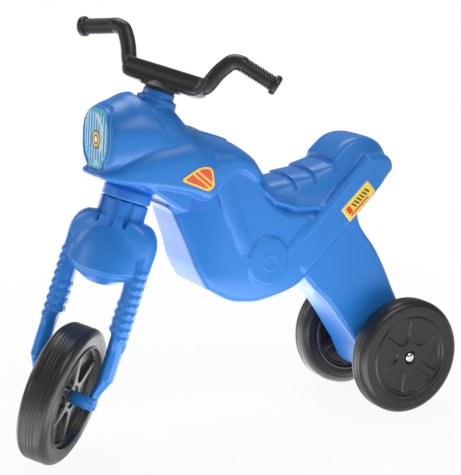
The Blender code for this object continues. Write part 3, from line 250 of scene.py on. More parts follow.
def slab(outline, half, edge, steps=4):
    """A (y, z) outline given a thickness along X, with rounded edges."""
    rings = []
    for k in range(steps + 1):
        angle = math.pi / 2 * k / steps
        ring = inset_outline(outline, edge * (1 - math.sin(angle)))
        rings.append([(half - edge * (1 - math.cos(angle)), p.x, p.y) for p in ring])
    rings += [[(-x, y, z) for x, y, z in ring] for ring in reversed(rings)]
    return loft(rings)


def sections(half, count, *stations):
    """A form through stations of (y, inset, low, wide, high, square_low, square_high, tilt).

    y counts from the head and inset from the half-width.
    """
    c, s = full_turn(80, 0.5)
    rings = []
    for y, inset, low, wide, high, sq_low, sq_high, tilt in curve(stations, count):
        power = 2 / np.where(s > 0, sq_high, sq_low)
        z = wide + np.where(s > 0, high - wide, wide - low) * squared(s, power)
        rings.append(np.stack([(half - inset) * squared(c, power), HEAD_Y + y + tilt * (z - wide), z], -1))
    return loft(rings)


def line_distance(p, line):
    """Distance of each point from a polyline, and how far along it the nearest point is, 0 to 1."""
    line = np.array(line, float)
    best = np.full(len(p), 1e9)
    along = np.zeros(len(p))
    lengths = np.linalg.norm(np.diff(line, axis=0), axis=1)
    total, done = lengths.sum(), 0
    for k in range(len(line) - 1):
        d = line[k + 1] - line[k]
        t = np.clip(((p - line[k]) @ d) / (d @ d), 0, 1)
        q = np.linalg.norm(p - (line[k] + t[:, None] * d), axis=1)
        near = q < best
        best[near] = q[near]
        along[near] = (done + t[near] * lengths[k]) / total
        done += lengths[k]
    return best, along


def add_object(name, data):
    obj = bpy.data.objects.new(name, data)
    bpy.context.scene.collection.objects.link(obj)
    return obj


def make_object(name, forms):
    """One object of all the (vertices, faces) forms."""
    verts, faces, base = [], [], 0
    for points, polygons in forms:
        verts.append(points)
        faces += [[i + base for i in polygon] for polygon in polygons]
        base += len(points)
    mesh = bpy.data.meshes.new(name)
    mesh.from_pydata(np.vstack(verts).tolist(), [], faces)
    mesh.validate()
    mesh.shade_smooth()
    return add_object(name, mesh)


def fix_normals(mesh):
    bm = bmesh.new()
    bm.from_mesh(mesh)
    bmesh.ops.recalc_face_normals(bm, faces=bm.faces)
    bm.to_mesh(mesh)
    bm.free()


def vectors_of(mesh, name):
    """Each vertex's co or normal."""
    values = np.zeros(len(mesh.vertices) * 3)
    mesh.vertices.foreach_get(name, values)
    return values.reshape(-1, 3)


def set_points(mesh, co):
    mesh.vertices.foreach_set("co", co.ravel())
    mesh.update()


def relax(mesh, rounds, strength=0.5):
    """Moves each point towards the middle of its neighbours, which rounds the edges off."""
    ends = np.zeros(len(mesh.edges) * 2, np.int64)
    mesh.edges.foreach_get("vertices", ends)
    ends = ends.reshape(-1, 2)
    co = vectors_of(mesh, "co")
    n = len(co)
    a = np.concatenate([ends[:, 0], ends[:, 1]])
    b = np.concatenate([ends[:, 1], ends[:, 0]])
    count = np.maximum(np.bincount(a, minlength=n), 1)[:, None]
    for _ in range(rounds):
        mean = np.stack([np.bincount(a, co[b, k], n) for k in range(3)], 1) / count
        co += strength * (mean - co)
    set_points(mesh, co)


def fuse(name, forms, voxel, rounds):
    """One closed skin round all the forms, with its edges rounded."""
    obj = make_object(name, forms)
    fix_normals(obj.data)
    modifier = obj.modifiers.new("fuse", "REMESH")
    modifier.mode = "VOXEL"
    modifier.voxel_size = voxel
    modifier.use_smooth_shade = True
    bpy.context.view_layer.update()
    graph = bpy.context.evaluated_depsgraph_get()
    mesh = bpy.data.meshes.new_from_object(obj.evaluated_get(graph))
    obj.modifiers.clear()
    old = obj.data
    obj.data = mesh
    bpy.data.meshes.remove(old)
    relax(mesh, rounds)
    return obj


def narrowed(form, *factors):
    """The form, finely divided, with its width scaled at each point by each factor of (y, z)."""
    obj = fuse("narrowed", [form], 0.0022, 0)
    co = vectors_of(obj.data, "co")
    faces = [list(p.vertices) for p in obj.data.polygons]
    bpy.data.objects.remove(obj)
    for factor in factors:
        co[:, 0] *= factor(co[:, 1], co[:, 2])
    return co, faces


# Materials

class Nodes:
    """Short calls for building the nodes of a material or of the world."""

    def __init__(self, owner):
        owner.use_nodes = True
        self.owner = owner
        self.tree = owner.node_tree
        self.shader = self.tree.nodes.get("Principled BSDF")

    def feed(self, node, sockets):
        """Sets a node's input sockets, by name or number, to values or to other nodes' outputs."""
        for key, value in sockets.items():
            if isinstance(value, bpy.types.NodeSocket):
                self.tree.links.new(value, node.inputs[key])
            else:
                node.inputs[key].default_value = value

    def add(self, kind, sockets, **settings):
        node = self.tree.nodes.new(kind)
        for key, value in settings.items():
            setattr(node, key, value)
        self.feed(node, sockets)
        return node

    def math(self, operation, a, b=0):
        return self.add("ShaderNodeMath", {0: a, 1: b}, operation=operation).outputs[0]

    def times(self, a, b):
        return self.math("MULTIPLY", a, b)

    def plus(self, a, b):
        return self.math("ADD", a, b)

    def noise(self, scale, detail=3, roughness=0.5, stretch=None):
        source = self.add("ShaderNodeTexCoord", {}).outputs["Object"]
        if stretch is not None:
            source = self.add("ShaderNodeMapping", {"Scale": stretch, "Vector": source}).outputs[0]
        sockets = {"Scale": scale, "Detail": detail, "Roughness": roughness, "Vector": source}
        return self.add("ShaderNodeTexNoise", sockets).outputs["Fac"]

    def spread(self, value, from_low, from_high, to_low, to_high):
        """Maps one range of a value to another, and holds it at the ends."""
        sockets = dict(enumerate((value, from_low, from_high, to_low, to_high)))
        return self.add("ShaderNodeMapRange", sockets).outputs["Result"]

    def band(self, value, low, high, soft=0.0002):
        """1 where value lies between low and high, with soft ends."""
        rise = self.spread(value, low - soft, low + soft, 0, 1)
        return self.times(rise, self.spread(value, high - soft, high + soft, 1, 0))

    def place(self, layer):
        """The two numbers of a UV layer: metres across and up a sticker, or its rim distance."""
        source = self.add("ShaderNodeUVMap", {}, uv_map=layer).outputs[0]
        return self.add("ShaderNodeSeparateXYZ", {0: source}).outputs[:2]

    def circle(self, u, v, cu, cv):
        """Distance from a point of the sticker."""
        du = self.math("SUBTRACT", u, cu)
        dv = self.math("SUBTRACT", v, cv)
        squares = [self.times(d, d) for d in (du, dv)]
        return self.math("SQRT", self.plus(*squares))

    def mix(self, factor, a, b):
        a, b = ((*c, 1) if isinstance(c, tuple) else c for c in (a, b))
        return self.add("ShaderNodeMix", {"Factor": factor, 6: a, 7: b}, data_type="RGBA").outputs[2]

    def blotch(self, noise, a, b):
        """One colour or number turning into another with the noise."""
        if isinstance(a, tuple):
            return self.mix(self.spread(noise, 0.3, 0.7, 0, 1), a, b)
        return self.spread(noise, 0.3, 0.7, a, b)

    def layers(self, base, *coats):
        """Paints (mask, colour) coats over a base colour."""
        for mask, colour in coats:
            base = self.mix(mask, base, colour)
        return base

    def bump(self, heights, strength):
        """Bump from (height, distance) pairs, finest first."""
        normal = {}
        for height, distance in heights:
            sockets = {"Strength": strength, "Distance": distance, "Height": height, **normal}
            normal = {"Normal": self.add("ShaderNodeBump", sockets).outputs["Normal"]}
        self.feed(self.shader, normal)


def moulded_plastic(name, colour, roughness, specular, mottle, grain, scuff):
    """Blow-moulded plastic: soft colour variation, fine grain, slow ripples and faint scuffs."""
    n = Nodes(bpy.data.materials.new(name))
    cloud = n.noise(9, 4, 0.6)
    fine = n.noise(420, 2)
    ripple = n.noise(38, 2)
    streak = n.noise(60, 5, 0.65, (1, 0.35, 2.4))
    dark = tuple(c * (1 - mottle) for c in colour)
    light = tuple(min(1, c * (1 + mottle) + mottle * 0.01) for c in colour)
    rough = n.blotch(cloud, roughness - 0.03, roughness + 0.03)
    rough = n.plus(rough, n.spread(streak, 0.62, 0.8, 0, scuff))
    n.feed(n.shader, {"Base Color": n.blotch(cloud, dark, light), "Roughness": rough,
        "Specular IOR Level": specular})
    n.bump([(fine, grain), (ripple, 0.00022)], 0.55)
    return n.owner


def metal(name, colour, roughness, brush):
    """Bare metal with faint brushed lines and slightly darker patches."""
    n = Nodes(bpy.data.materials.new(name))
    lines = n.noise(240, 3, 0.6, (0.12, 1, 1))
    patch = n.noise(90, 3)
    n.feed(n.shader, {"Base Color": n.blotch(patch, tuple(c * 0.9 for c in colour), colour),
        "Roughness": n.blotch(lines, roughness, roughness + brush), "Metallic": 1})
    n.bump([(lines, 0.00002)], 0.4)
    return n.owner


def sticker(name, paint, specular=0.5):
    """Printed vinyl with a slightly uneven gloss."""
    n = Nodes(bpy.data.materials.new(name))
    u, v = n.place("plan")
    rim, _ = n.place("rim")
    cloud = n.noise(160, 3)
    n.feed(n.shader, {"Specular IOR Level": specular, "Base Color": paint(n, u, v, rim),
        "Roughness": n.blotch(cloud, 0.22, 0.34)})
    n.bump([(cloud, 0.00002)], 0.5)
    return n.owner


def lens_print(n, u, v, rim):
    """A fluted lens with a plain bulb ring in the middle and a soft arc of light."""
    flute_pitch = 0.0077
    flute = n.math("FRACT", n.times(n.plus(u, 0.05), 1 / flute_pitch))
    face = n.layers((0.055, 0.36, 0.62), (n.band(flute, 0.02, 0.26, 0.04), (0.56, 0.76, 0.82)),
        (n.band(flute, 0.4, 0.7, 0.05), (0.02, 0.17, 0.44)))
    arc_side = n.spread(n.plus(u, n.times(v, 0.3)), 0.004, 0.008, 0, 1)
    arc_mask = n.times(n.band(n.circle(u, v, -0.01, 0.004), 0.0255, 0.0315, 0.0008), arc_side)
    patch = n.times(n.band(n.circle(u, v, 0.003, -0.033), -1, 0.007, 0.001), 0.75)
    ring = n.circle(u, v, 0, 0)
    return n.layers(face, (arc_mask, (0.55, 0.63, 0.62)), (patch, (0.52, 0.66, 0.7)),
        (n.band(ring, -1, 0.0124), (0.012, 0.03, 0.08)), (n.band(ring, -1, 0.01), (0.84, 0.54, 0.03)),
        (n.band(ring, -1, 0.0064), (0.012, 0.02, 0.04)), (n.band(ring, -1, 0.0042), (0.78, 0.8, 0.78)),
        (n.band(rim, 0.91, 2, 0.006), (0.09, 0.5, 0.68)))


def badge_print(n, u, v, rim):
    """Red field in a yellow border, with two plain slanting stripes."""
    stripe = (0.88, 0.62, 0.1)
    slant = n.plus(u, n.times(v, 0.55))
    return n.layers((0.78, 0.1, 0.055), (n.band(slant, -0.006, -0.0032), stripe),
        (n.band(slant, 0.0012, 0.004), stripe), (n.band(rim, 0.79, 2, 0.012), (0.9, 0.64, 0.1)),
        (n.band(rim, 0.965, 2, 0.008), (0.1, 0.09, 0.06)))


def panel_print(n, u, v, rim):
    """Yellow field with a red foot bar, a red mark and a row of plain dark blocks."""
    red, block_pitch = (0.74, 0.055, 0.035), 0.0056
    lean = n.plus(n.plus(u, 0.05), n.times(v, 0.35))
    block = n.band(n.math("FRACT", n.times(lean, 1 / block_pitch)), 0.12, 0.72, 0.05)
    blocks = n.times(n.times(n.band(v, -0.003, 0.0062), block), n.band(u, -0.0125, 0.0215))
    foot = n.times(n.band(v, -0.0082, -0.0052), n.band(u, -0.022, 0.015))
    mark = n.times(n.band(v, -0.004, 0.007), n.band(u, -0.023, -0.015))
    return n.layers((0.9, 0.66, 0.055), (blocks, (0.14, 0.075, 0.03)), (foot, red), (mark, red),
        (n.band(rim, 0.955, 2, 0.008), (0.92, 0.74, 0.25)))


def dial_print(n, u, v, rim):
    """Two plain gauges on a dark panel with a yellow-green edge."""
    red = (0.74, 0.1, 0.06)
    coats = []
    for centre in (-0.0215, 0.0215):
        ring = n.circle(u, v, centre, 0)
        middle = n.band(n.math("SUBTRACT", u, centre), -0.0005, 0.0005)
        needle = n.times(n.band(ring, 0.0016, 0.0082), middle)
        coats += [(n.band(ring, 0.0096, 0.0112), (0.72, 0.74, 0.74)), (n.band(ring, -1, 0.0016), red)]
        coats.append((needle, red))
    return n.layers((0.03, 0.035, 0.045), *coats, (n.band(rim, 0.86, 2, 0.01), (0.6, 0.68, 0.1)))


# Plastics by colour, roughness, specular level, mottle, grain and scuffs, metals by colour, roughness, brush
BLUE = moulded_plastic("blue_body", (0.024, 0.2, 0.625), 0.31, 0.42, 0.035, 0.000012, 0.1)
BLACK = moulded_plastic("black_bar", (0.024, 0.024, 0.025), 0.36, 0.42, 0.1, 0.000018, 0.1)
WHEEL = moulded_plastic("wheel_black", (0.015, 0.015, 0.0152), 0.33, 0.5, 0.1, 0.000025, 0.12)
BEARING = moulded_plastic("bearing_black", (0.028, 0.028, 0.03), 0.5, 0.4, 0.08, 0.00002, 0.05)
CHROME = metal("chrome_cap", (0.8, 0.81, 0.83), 0.07, 0.05)
STEEL = metal("zinc_steel_rod", (0.56, 0.57, 0.59), 0.28, 0.16)
LENS = sticker("lens_sticker", lens_print, 0.15)
BADGE = sticker("badge_sticker", badge_print)
PANEL = sticker("panel_sticker", panel_print)
DIAL = sticker("dial_sticker", dial_print)


def dress(obj, material, body, slot, *nodes):
    """Gives a piece its material and its body, and hides the solids that it stands for. The slot is not
    used.
    """
    obj.data.materials.clear()
    obj.data.materials.append(material)
    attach(obj, body)
    if nodes:
        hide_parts(*nodes)
    return obj


def make_piece(name, form, matrix, *finish):
    """A piece of one form, placed by the matrix and dressed."""
    obj = make_object(name, [form])
    fix_normals(obj.data)
    obj.data.transform(matrix)
    return dress(obj, *finish)


# Body shell

def cowl_form():
    """Lamp cowl: flat face, rounded rim, top rising to its back edge."""
    return sections(COWL_HALF, 40,
        (-0.0845, 0.0137, 0.392, 0.434, 0.465, 2.9, 2.2, 0.08),
        (-0.0825, 0.0087, 0.388, 0.434, 0.47, 2.9, 2.2, 0.08),
        (-0.077, 0.0062, 0.386, 0.434, 0.474, 2.9, 2.2, 0.06),
        (-0.058, 0.002, 0.384, 0.432, 0.479, 2.7, 2.2, 0),
        (-0.036, 0, 0.384, 0.43, 0.485, 2.5, 2.1, -0.15),
        (-0.004, 0, 0.384, 0.426, 0.487, 2.5, 1.9, -0.5))


def shoulder_form():
    """Shoulders between the cowl and the tank, under the neck."""
    return sections(COWL_HALF, 30,
        (-0.04, 0.002, 0.38, 0.425, 0.472, 2.5, 2.1, -0.3),
        (-0.01, -0.001, 0.38, 0.42, 0.475, 2.5, 2, -0.2),
        (0.012, -0.001, 0.38, 0.415, 0.468, 2.5, 1.9, 0),
        (0.03, 0, 0.38, 0.41, 0.447, 2.5, 2, 0),
        (0.045, 0.002, 0.38, 0.405, 0.424, 2.5, 2.1, 0))


def fairing_form():
    """A wing from the chin that swells and widens to the tank, over a square lower edge."""
    return sections(FAIRING_HALF, 60,
        (-0.094, 0.035, 0.383, 0.3865, 0.3892, 3, 2.2, 0),
        (-0.09, 0.029, 0.38, 0.386, 0.3908, 3, 2.2, 0),
        (-0.075, 0.016, 0.3745, 0.385, 0.399, 4, 2.6, 0),
        (-0.06, 0.009, 0.3715, 0.3835, 0.412, 4.5, 3.2, 0),
        (-0.04, 0.004, 0.3685, 0.382, 0.4215, 5, 3.4, 0),
        (-0.015, 0.0005, 0.364, 0.38, 0.43, 6, 3.4, 0),
        (0.025, 0, 0.352, 0.375, 0.4375, 7, 3.2, 0),
        (0.048, 0, 0.341, 0.372, 0.433, 7, 2.6, 0),
        (0.061, 0.0018, 0.345, 0.372, 0.4262, 7, 2.4, 0))


def tank_form():
    """Tank: its crest falls to the seat, with a lip on each side."""
    return sections(TANK_HALF, 60,
        (0.03, 0.004, 0.355, 0.383, 0.429, 4, 2.2, 0),
        (0.055, 0, 0.35, 0.383, 0.427, 4.5, 2.2, 0),
        (0.075, 0.0005, 0.36, 0.384, 0.421, 5, 2.3, 0),
        (0.1, 0.0025, 0.371, 0.387, 0.411, 5, 2.4, 0),
        (0.122, 0.0045, 0.356, 0.374, 0.396, 4.5, 2.4, 0),
        (0.133, 0.011, 0.35, 0.364, 0.385, 4, 2.4, 0),
        (0.146, 0.024, 0.344, 0.353, 0.369, 3.5, 2.4, 0),
        (0.158, 0.04, 0.34, 0.344, 0.354, 3, 2.5, 0))


def housing_form():
    """Housing under the fairing, behind the neck."""
    h = HEAD_Y
    lower = curve([(h - 0.035, 0.366), (h + 0.008, 0.333), (h + 0.0165, 0.3285), (h + 0.0235, 0.332),
        (h + 0.03, 0.348), (h + 0.055, 0.365)], 24).tolist()
    return slab([(h - 0.07, 0.384)] + lower + [(h + 0.07, 0.385)], FAIRING_HALF - 0.01, 0.0045)


def engine_form():
    """Engine block, narrowed towards its nose, with its sides turning in towards a round belly."""
    h = HEAD_Y
    nose = [(h - 0.002, 0.335), (h + 0.008, 0.325), (h + 0.026, 0.275), (h + 0.034, 0.249),
        (h + 0.042, 0.232)]
    belly = curve([(h + 0.05, 0.217), (h + 0.087, 0.1945), (-0.24, 0.188), (-0.216, 0.186), (-0.181, 0.193),
        (-0.16, 0.201), (-0.146, 0.212)], 36).tolist()
    back = curve([(-0.135, 0.305), (-0.16, 0.307), (-0.183, 0.314), (-0.204, 0.33), (-0.216, 0.351),
        (-0.226, 0.368), (-0.25, 0.385)], 24).tolist()
    outline = nose + belly + [(-0.105, 0.25), (-0.1, 0.303)] + back + [(h + 0.045, 0.388)]
    nose_share = 1 - NOSE_HALF / ENGINE_HALF
    return narrowed(slab(outline, ENGINE_HALF, 0.009, 6),
        lambda y, z: 1 - ramp(z, 0.235, 0.325) * ramp(y, -0.27, -0.31) * nose_share,
        lambda y, z: 1 - 0.2 * ramp(z, 0.236, 0.186) ** 1.8)


def seat_form():
    """Seat: a narrow top with three steps over a smooth side, a curved skirt and a rounded rear end."""
    rear_start = -0.0972
    crest = [(-0.225, 0.367), (-0.212, 0.356), (-0.196, 0.349), (-0.162, 0.3525), (-0.1612, 0.356),
        (-0.13, 0.3585), (-0.1292, 0.3624), (-0.098, 0.3685)]
    rear_end = curve([(rear_start, 0.3734), (-0.08, 0.388), (-0.066, 0.3962), (-0.05, 0.3985),
        (-0.032, 0.396), (-0.015, 0.387), (-0.003, 0.374), (0.003, 0.362)], 40)
    skirt = curve([(-0.225, 0.356), (-0.216, 0.346), (-0.205, 0.3305), (-0.1815, 0.3165), (-0.16, 0.31),
        (-0.135, 0.308), (-0.1, 0.3085), (-0.05, 0.312), (-0.03, 0.326), (-0.01, 0.342), (0.003, 0.35)], 90)
    # The steps show on the seat's top and fade out over its edge, so its side runs on smoothly
    smooth = np.array([(-0.225, 0.367), (-0.212, 0.3565), (-0.196, 0.3495), (-0.1615, 0.354),
        (-0.1296, 0.36), (-0.0976, 0.3705)])
    rings = []
    for y, top in crest + rear_end.tolist():
        low = np.interp(y, skirt[:, 0], skirt[:, 1])
        even = np.interp(y, smooth[:, 0], smooth[:, 1]) if y < rear_start else top
        brow = min(0.0115, 0.5 * (even - low))
        drop = even - brow - low
        rear = ramp(y, -0.095, -0.05)
        wide = SKIRT_HALF + (SEAT_REAR_HALF - SKIRT_HALF) * rear
        flat = ramp(y, -0.1, -0.094)
        keel = 0.001 + 0.019 * ramp(y, -0.06, -0.1)
        end = 1 - 0.36 * ramp(y, -0.03, 0.004) ** 1.5
        flank = SEAT_HALF + (wide - SEAT_HALF) * (0.52 + 0.26 * rear)
        brow_line = [(0.012 + 0.004 * flat, 0.04 - 0.03 * flat), (0.022 + 0.005 * flat, 0.17 - 0.1 * flat),
            (0.0305 + 0.0035 * flat, 0.45 - 0.1 * flat), (SEAT_HALF + 0.0005, 1)]
        side = curve([(x, even - share * brow) for x, share in brow_line] + [(flank, low + 0.5 * drop),
            (wide - 0.0006, low + min(0.005, 0.36 * drop))], 20)
        side[:, 1] += (top - even) * (1 - ease(side[:, 0], 0.027, 0.04))
        hem = [(wide, low + min(0.0028, 0.25 * drop)), (wide - 0.001, low), (0, low - keel)]
        half = [(0, top)] + side.tolist() + hem
        rings.append([(x * end, y, z) for x, z in half]
            + [(-x * end, y, z) for x, z in reversed(half[1:-1])])
    return loft(rings)


def band_form():
    """Tail band along each side, from the engine up to the back of the seat."""
    upper = curve([(-0.08, 0.278), (-0.008, 0.342), (0, 0.352), (-0.0045, 0.364), (-0.02, 0.3735),
        (-0.048, 0.376)], 30).tolist()
    outline = [(-0.149, 0.216)] + upper + [(-0.115, 0.318), (-0.179, 0.26), (-0.178, 0.235)]
    return narrowed(slab(outline, BAND_HALF, 0.0075, 6),
        lambda y, z: 1 - 0.16 * ramp(y, -0.045, 0) ** 1.5,
        lambda y, z: 1 - 0.075 * ease(y, -0.135, -0.172))


def leg_form():
    """Rear leg down to the axle, wider at its foot."""
    front = curve([(-0.124, 0.1865), (-0.102, 0.164), (-0.074, 0.124), (-0.048, 0.085)], 12)
    back = curve([(0.043, 0.1), (0.0105, 0.1635), (-0.0075, 0.204), (-0.0245, 0.236), (-0.0495, 0.272),
        (-0.056, 0.3)], 24)
    foot = arc((0, REAR_AXLE), 0.044, 218, 350, 16)
    outline = [(-0.09, 0.3), (-0.145, 0.2115)] + front.tolist() + foot + back.tolist()
    return narrowed(slab(outline, LEG_HALF, 0.0065, 5),
        lambda y, z: 1 + (LEG_FOOT_HALF / LEG_HALF - 1) * ease(z, 0.15, 0.07))


def axle_boss_form():
    """Boss round the rear axle, through the leg."""
    reach, radius = 0.0574, 0.019
    verts, faces = turned([(0, -reach), (radius, -reach), (radius, reach), (0, reach)], 64, "X")
    return verts + (0, 0, REAR_AXLE), faces


def disc_form():
    """Disc cover that shows on both sides of the engine."""
    edge = [(DISC_RADIUS - 0.003, DISC_HALF), (DISC_RADIUS - 0.001, DISC_HALF - 0.0005),
        (DISC_RADIUS, DISC_HALF - 0.003)]
    profile = [(0, -DISC_HALF)] + [(r, -x) for r, x in edge] + edge[::-1] + [(0, DISC_HALF)]
    verts, faces = turned(profile, 96, "X")
    return verts + (0, *DISC), faces


def disc_rim_form():
    """Raised rim over the disc's upper half, thickest in its middle."""
    rings = []
    face, edge = DISC_HALF - 0.0005, DISC_HALF - 0.002
    for k in range(41):
        a = math.radians(15 + 150 * k / 40)
        thick = 0.0055 * math.sin(math.pi * (k + 2.4) / 44.8)
        section = [(face, DISC_RADIUS - 0.004), (face, DISC_RADIUS + thick * 0.7),
            (edge, DISC_RADIUS + thick)]
        section += [(-x, r) for x, r in reversed(section)]
        rings.append([(x, DISC[0] + r * math.cos(a), DISC[1] + r * math.sin(a)) for x, r in section])
    return loft(rings)


def frame_tube_form(side):
    """Frame tube moulded on the engine's side, from the tank to the disc."""
    path = curve([(-0.282, 0.376), (-0.268, 0.33), (-0.255, 0.295), (-0.243, 0.264)], 16)
    c, s = full_turn(24)
    rings = []
    for k, ((y, z), step) in enumerate(zip(path, headings(path))):
        across = 0.0132 * c
        rise = 0.005 * (1 - 0.3 * ease(k, 12, 15))
        rings.append(np.stack([side * (0.049 + rise * s), y + across * step[1], z - across * step[0]], -1))
    return loft(rings)


def neck_form():
    """Neck on the steering axis: foot, flange, tapered column and upper collar."""
    foot = NECK_BOTTOM - 0.0014
    flange = NECK_BOTTOM + 0.012
    verts, faces = turned([(0, foot), (0.0322, foot), (0.0332, foot + 0.001), (0.0332, flange),
        (0.029, flange + 0.004), (0.0335, COLLAR_BOTTOM - 0.024), (0.0268, COLLAR_BOTTOM - 0.0015),
        (0.0272, COLLAR_BOTTOM), (0.0272, COLLAR_TOP - 0.0015), (0.0257, COLLAR_TOP), (0.0215, COLLAR_TOP),
        (0.0215, NECK_TOP), (0, NECK_TOP)])
    return verts @ np.array(NECK_FRAME.to_3x3()).T + np.array(NECK_FRAME.translation), faces


# The lamp's sticker: its left outline as (x, z), from the top down
LAMP_OUTLINE = [(0, 0.4695), (0.0135, 0.4685), (0.0245, 0.4635), (0.0315, 0.452), (0.034, 0.437),
    (0.033, 0.421), (0.0288, 0.409), (0.0222, 0.403), (0.02, 0.397), (0.0155, 0.3925), (0, 0.3918)]
LAMP_CENTRE = (0, 0.429)


def lamp_outline(count=90):
    half = curve(LAMP_OUTLINE, count)
    return np.vstack([half, half[-2:0:-1] * (-1, 1)])


def carve_body(mesh):
    """Fine forms on the body: seat grooves, tank strip, disc ring, tail rail and the lamp's groove."""
    co = vectors_of(mesh, "co")
    x, y, z = co.T
    wide = np.abs(x)
    side = np.stack([wide, y, z], 1)
    lift = np.zeros(len(co))
    # Grooves at the seat's steps, running down over its edge
    for y0, z0, low in ((-0.1625, 0.352, 0.334), (-0.1305, 0.358, 0.339), (-0.0985, 0.3675, 0.351)):
        drift = 0.3 * np.maximum(wide - 0.028, 0)
        near = (np.abs(z - z0) < 0.03) & (z > low) & (wide < 0.047)
        fade = ease(z, low, low + 0.004)
        lift -= np.where(near, 0.0026 * bump(np.abs(y - y0 - drift), 0.0026) * fade, 0)
    # Crease from the third groove to the seat's rear
    d, _ = line_distance(side, [(0.0335, -0.096, 0.3665), (0.035, -0.062, 0.3895)])
    lift += 0.0008 * bump(d, 0.0018)
    # Groove under the seat's skirt
    hem = curve([(-0.216, 0.346), (-0.205, 0.3305), (-0.1815, 0.3165), (-0.16, 0.31), (-0.137, 0.3085)], 30)
    d, t = line_distance(side[:, 1:], hem)
    lift -= np.where(wide > 0.046, 0.0011 * bump(d, 0.0019) * (1 - ease(t, 0.9, 1)), 0)
    # Raised strip on the tank's top, with a groove round it
    strip = np.hypot(np.maximum(wide - 0.01, 0), np.maximum(np.abs(y + 0.276) - 0.022, 0))
    relief = 0.0016 * (1 - ease(strip, 0.003, 0.0045)) - 0.0012 * bump(np.abs(strip - 0.0065), 0.0022)
    lift += np.where(z > 0.385, relief, 0)
    # Ring on the disc cover
    ring = np.abs(np.hypot(y - DISC_RING[0], z - DISC_RING[1]) - 0.0105)
    lift += np.where(wide > 0.05, 0.001 * bump(ring, 0.0016), 0)
    # Rail along the tail band's upper edge
    d, _ = line_distance(side, [(0.055, -0.174, 0.2585), (0.055, -0.115, 0.313), (0.055, -0.05, 0.3745)])
    lift += np.where(wide > 0.046, 0.0016 * (1 - ease(d, 0.004, 0.01)), 0)
    # Groove round the lamp's sticker
    front = y < HEAD_Y - 0.07
    outline = LAMP_CENTRE + (lamp_outline(60) - LAMP_CENTRE) * (1.14, 1.095)
    d, _ = line_distance(np.stack([x, z], 1)[front], np.vstack([outline, outline[:1]]))
    lift[front] -= 0.002 * bump(d, 0.0026)
    # Parting line of the mould
    lift += 0.0003 * bump(wide, 0.0012)
    set_points(mesh, co + vectors_of(mesh, "normal") * lift[:, None])


def build_body():
    forms = [cowl_form(), shoulder_form(), fairing_form(), tank_form(), housing_form(), engine_form(),
        seat_form(), band_form(), leg_form(), axle_boss_form(), disc_form(), disc_rim_form(),
        frame_tube_form(1), frame_tube_form(-1), neck_form()]
    obj = fuse("body", forms, 0.0013, 4)
    carve_body(obj.data)
    relax(obj.data, 1, 0.4)
    obj.data.transform(TO_WORLD)
    return dress(obj, BLUE, "frame", "blue_plastic", "body_shell")


# Stickers

def rounded(corners, radius, steps=8):
    """A polygon with its corners rounded."""
    out = []
    n = len(corners)
    for k in range(n):
        a, b, c = (np.array(corners[(k + q) % n], float) for q in (-1, 0, 1))
        to_a, to_c = (a - b) / np.linalg.norm(a - b), (c - b) / np.linalg.norm(c - b)
        cut = min(radius, 0.45 * np.linalg.norm(a - b), 0.45 * np.linalg.norm(c - b))
        for t in np.linspace(0, 1, steps):
            out.append(b + cut * ((1 - t) ** 2 * to_a + t ** 2 * to_c))
    return np.array(out)


def evenly(outline, count):
    """An outline's points moved to even distances along it."""
    loop = np.vstack([outline, outline[:1]])
    run = np.concatenate([[0], np.cumsum(np.linalg.norm(np.diff(loop, axis=0), axis=1))])
    at = np.linspace(0, run[-1], count, endpoint=False)
    return np.stack([np.interp(at, run, loop[:, k]) for k in range(2)], 1)


def decal(name, tree, outline, centre, along, cast, *finish):
    """A thin sticker laid on a surface: rings of points round its centre, each cast onto the surface.

    cast turns a point of the plan into the ray's start and direction, and along is the plan's own axis.
    """
    thickness, edge_thickness, sunk = 0.00034, 0.0002, -0.0006
    outline = evenly(np.array(outline, float), 160)
    n = len(outline)
    centre = np.array(centre, float)
    along = np.array(along, float) / np.linalg.norm(along)
    across = np.array((-along[1], along[0]))
    places = [(0, thickness, centre)]
    for share in np.linspace(0, 1, 28)[1:]:
        rise = thickness if share < 0.985 else edge_thickness
        places += [(share, rise, centre + (point - centre) * share) for point in outline]
    places += [(1, sunk, point) for point in outline]
    verts, plan, rims = [], [], []
    for share, rise, p in places:
        start, heading = (Vector(q) for q in cast(p))
        hit, normal, _, _ = tree.ray_cast(start, heading)
        if hit is None:
            hit, normal = start, -heading
        verts.append(hit + normal * rise)
        plan.append(((p - centre) @ along, (p - centre) @ across))
        rims.append((share, 0))
    faces = [[0, 1 + k, 1 + (k + 1) % n] for k in range(n)]
    last = len(verts) - n
    for a in range(1, last, n):
        for k in range(n):
            j = (k + 1) % n
            faces.append([a + k, a + n + k, a + n + j, a + j])
    faces.append([last + k for k in range(n)])
    obj = make_object(name, [(np.array(verts), faces)])
    fix_normals(obj.data)
    for layer, values in (("plan", plan), ("rim", rims)):
        uvs = obj.data.uv_layers.new(name=layer).data
        for loop in obj.data.loops:
            uvs[loop.index].uv = values[loop.vertex_index]
    return dress(obj, *finish)


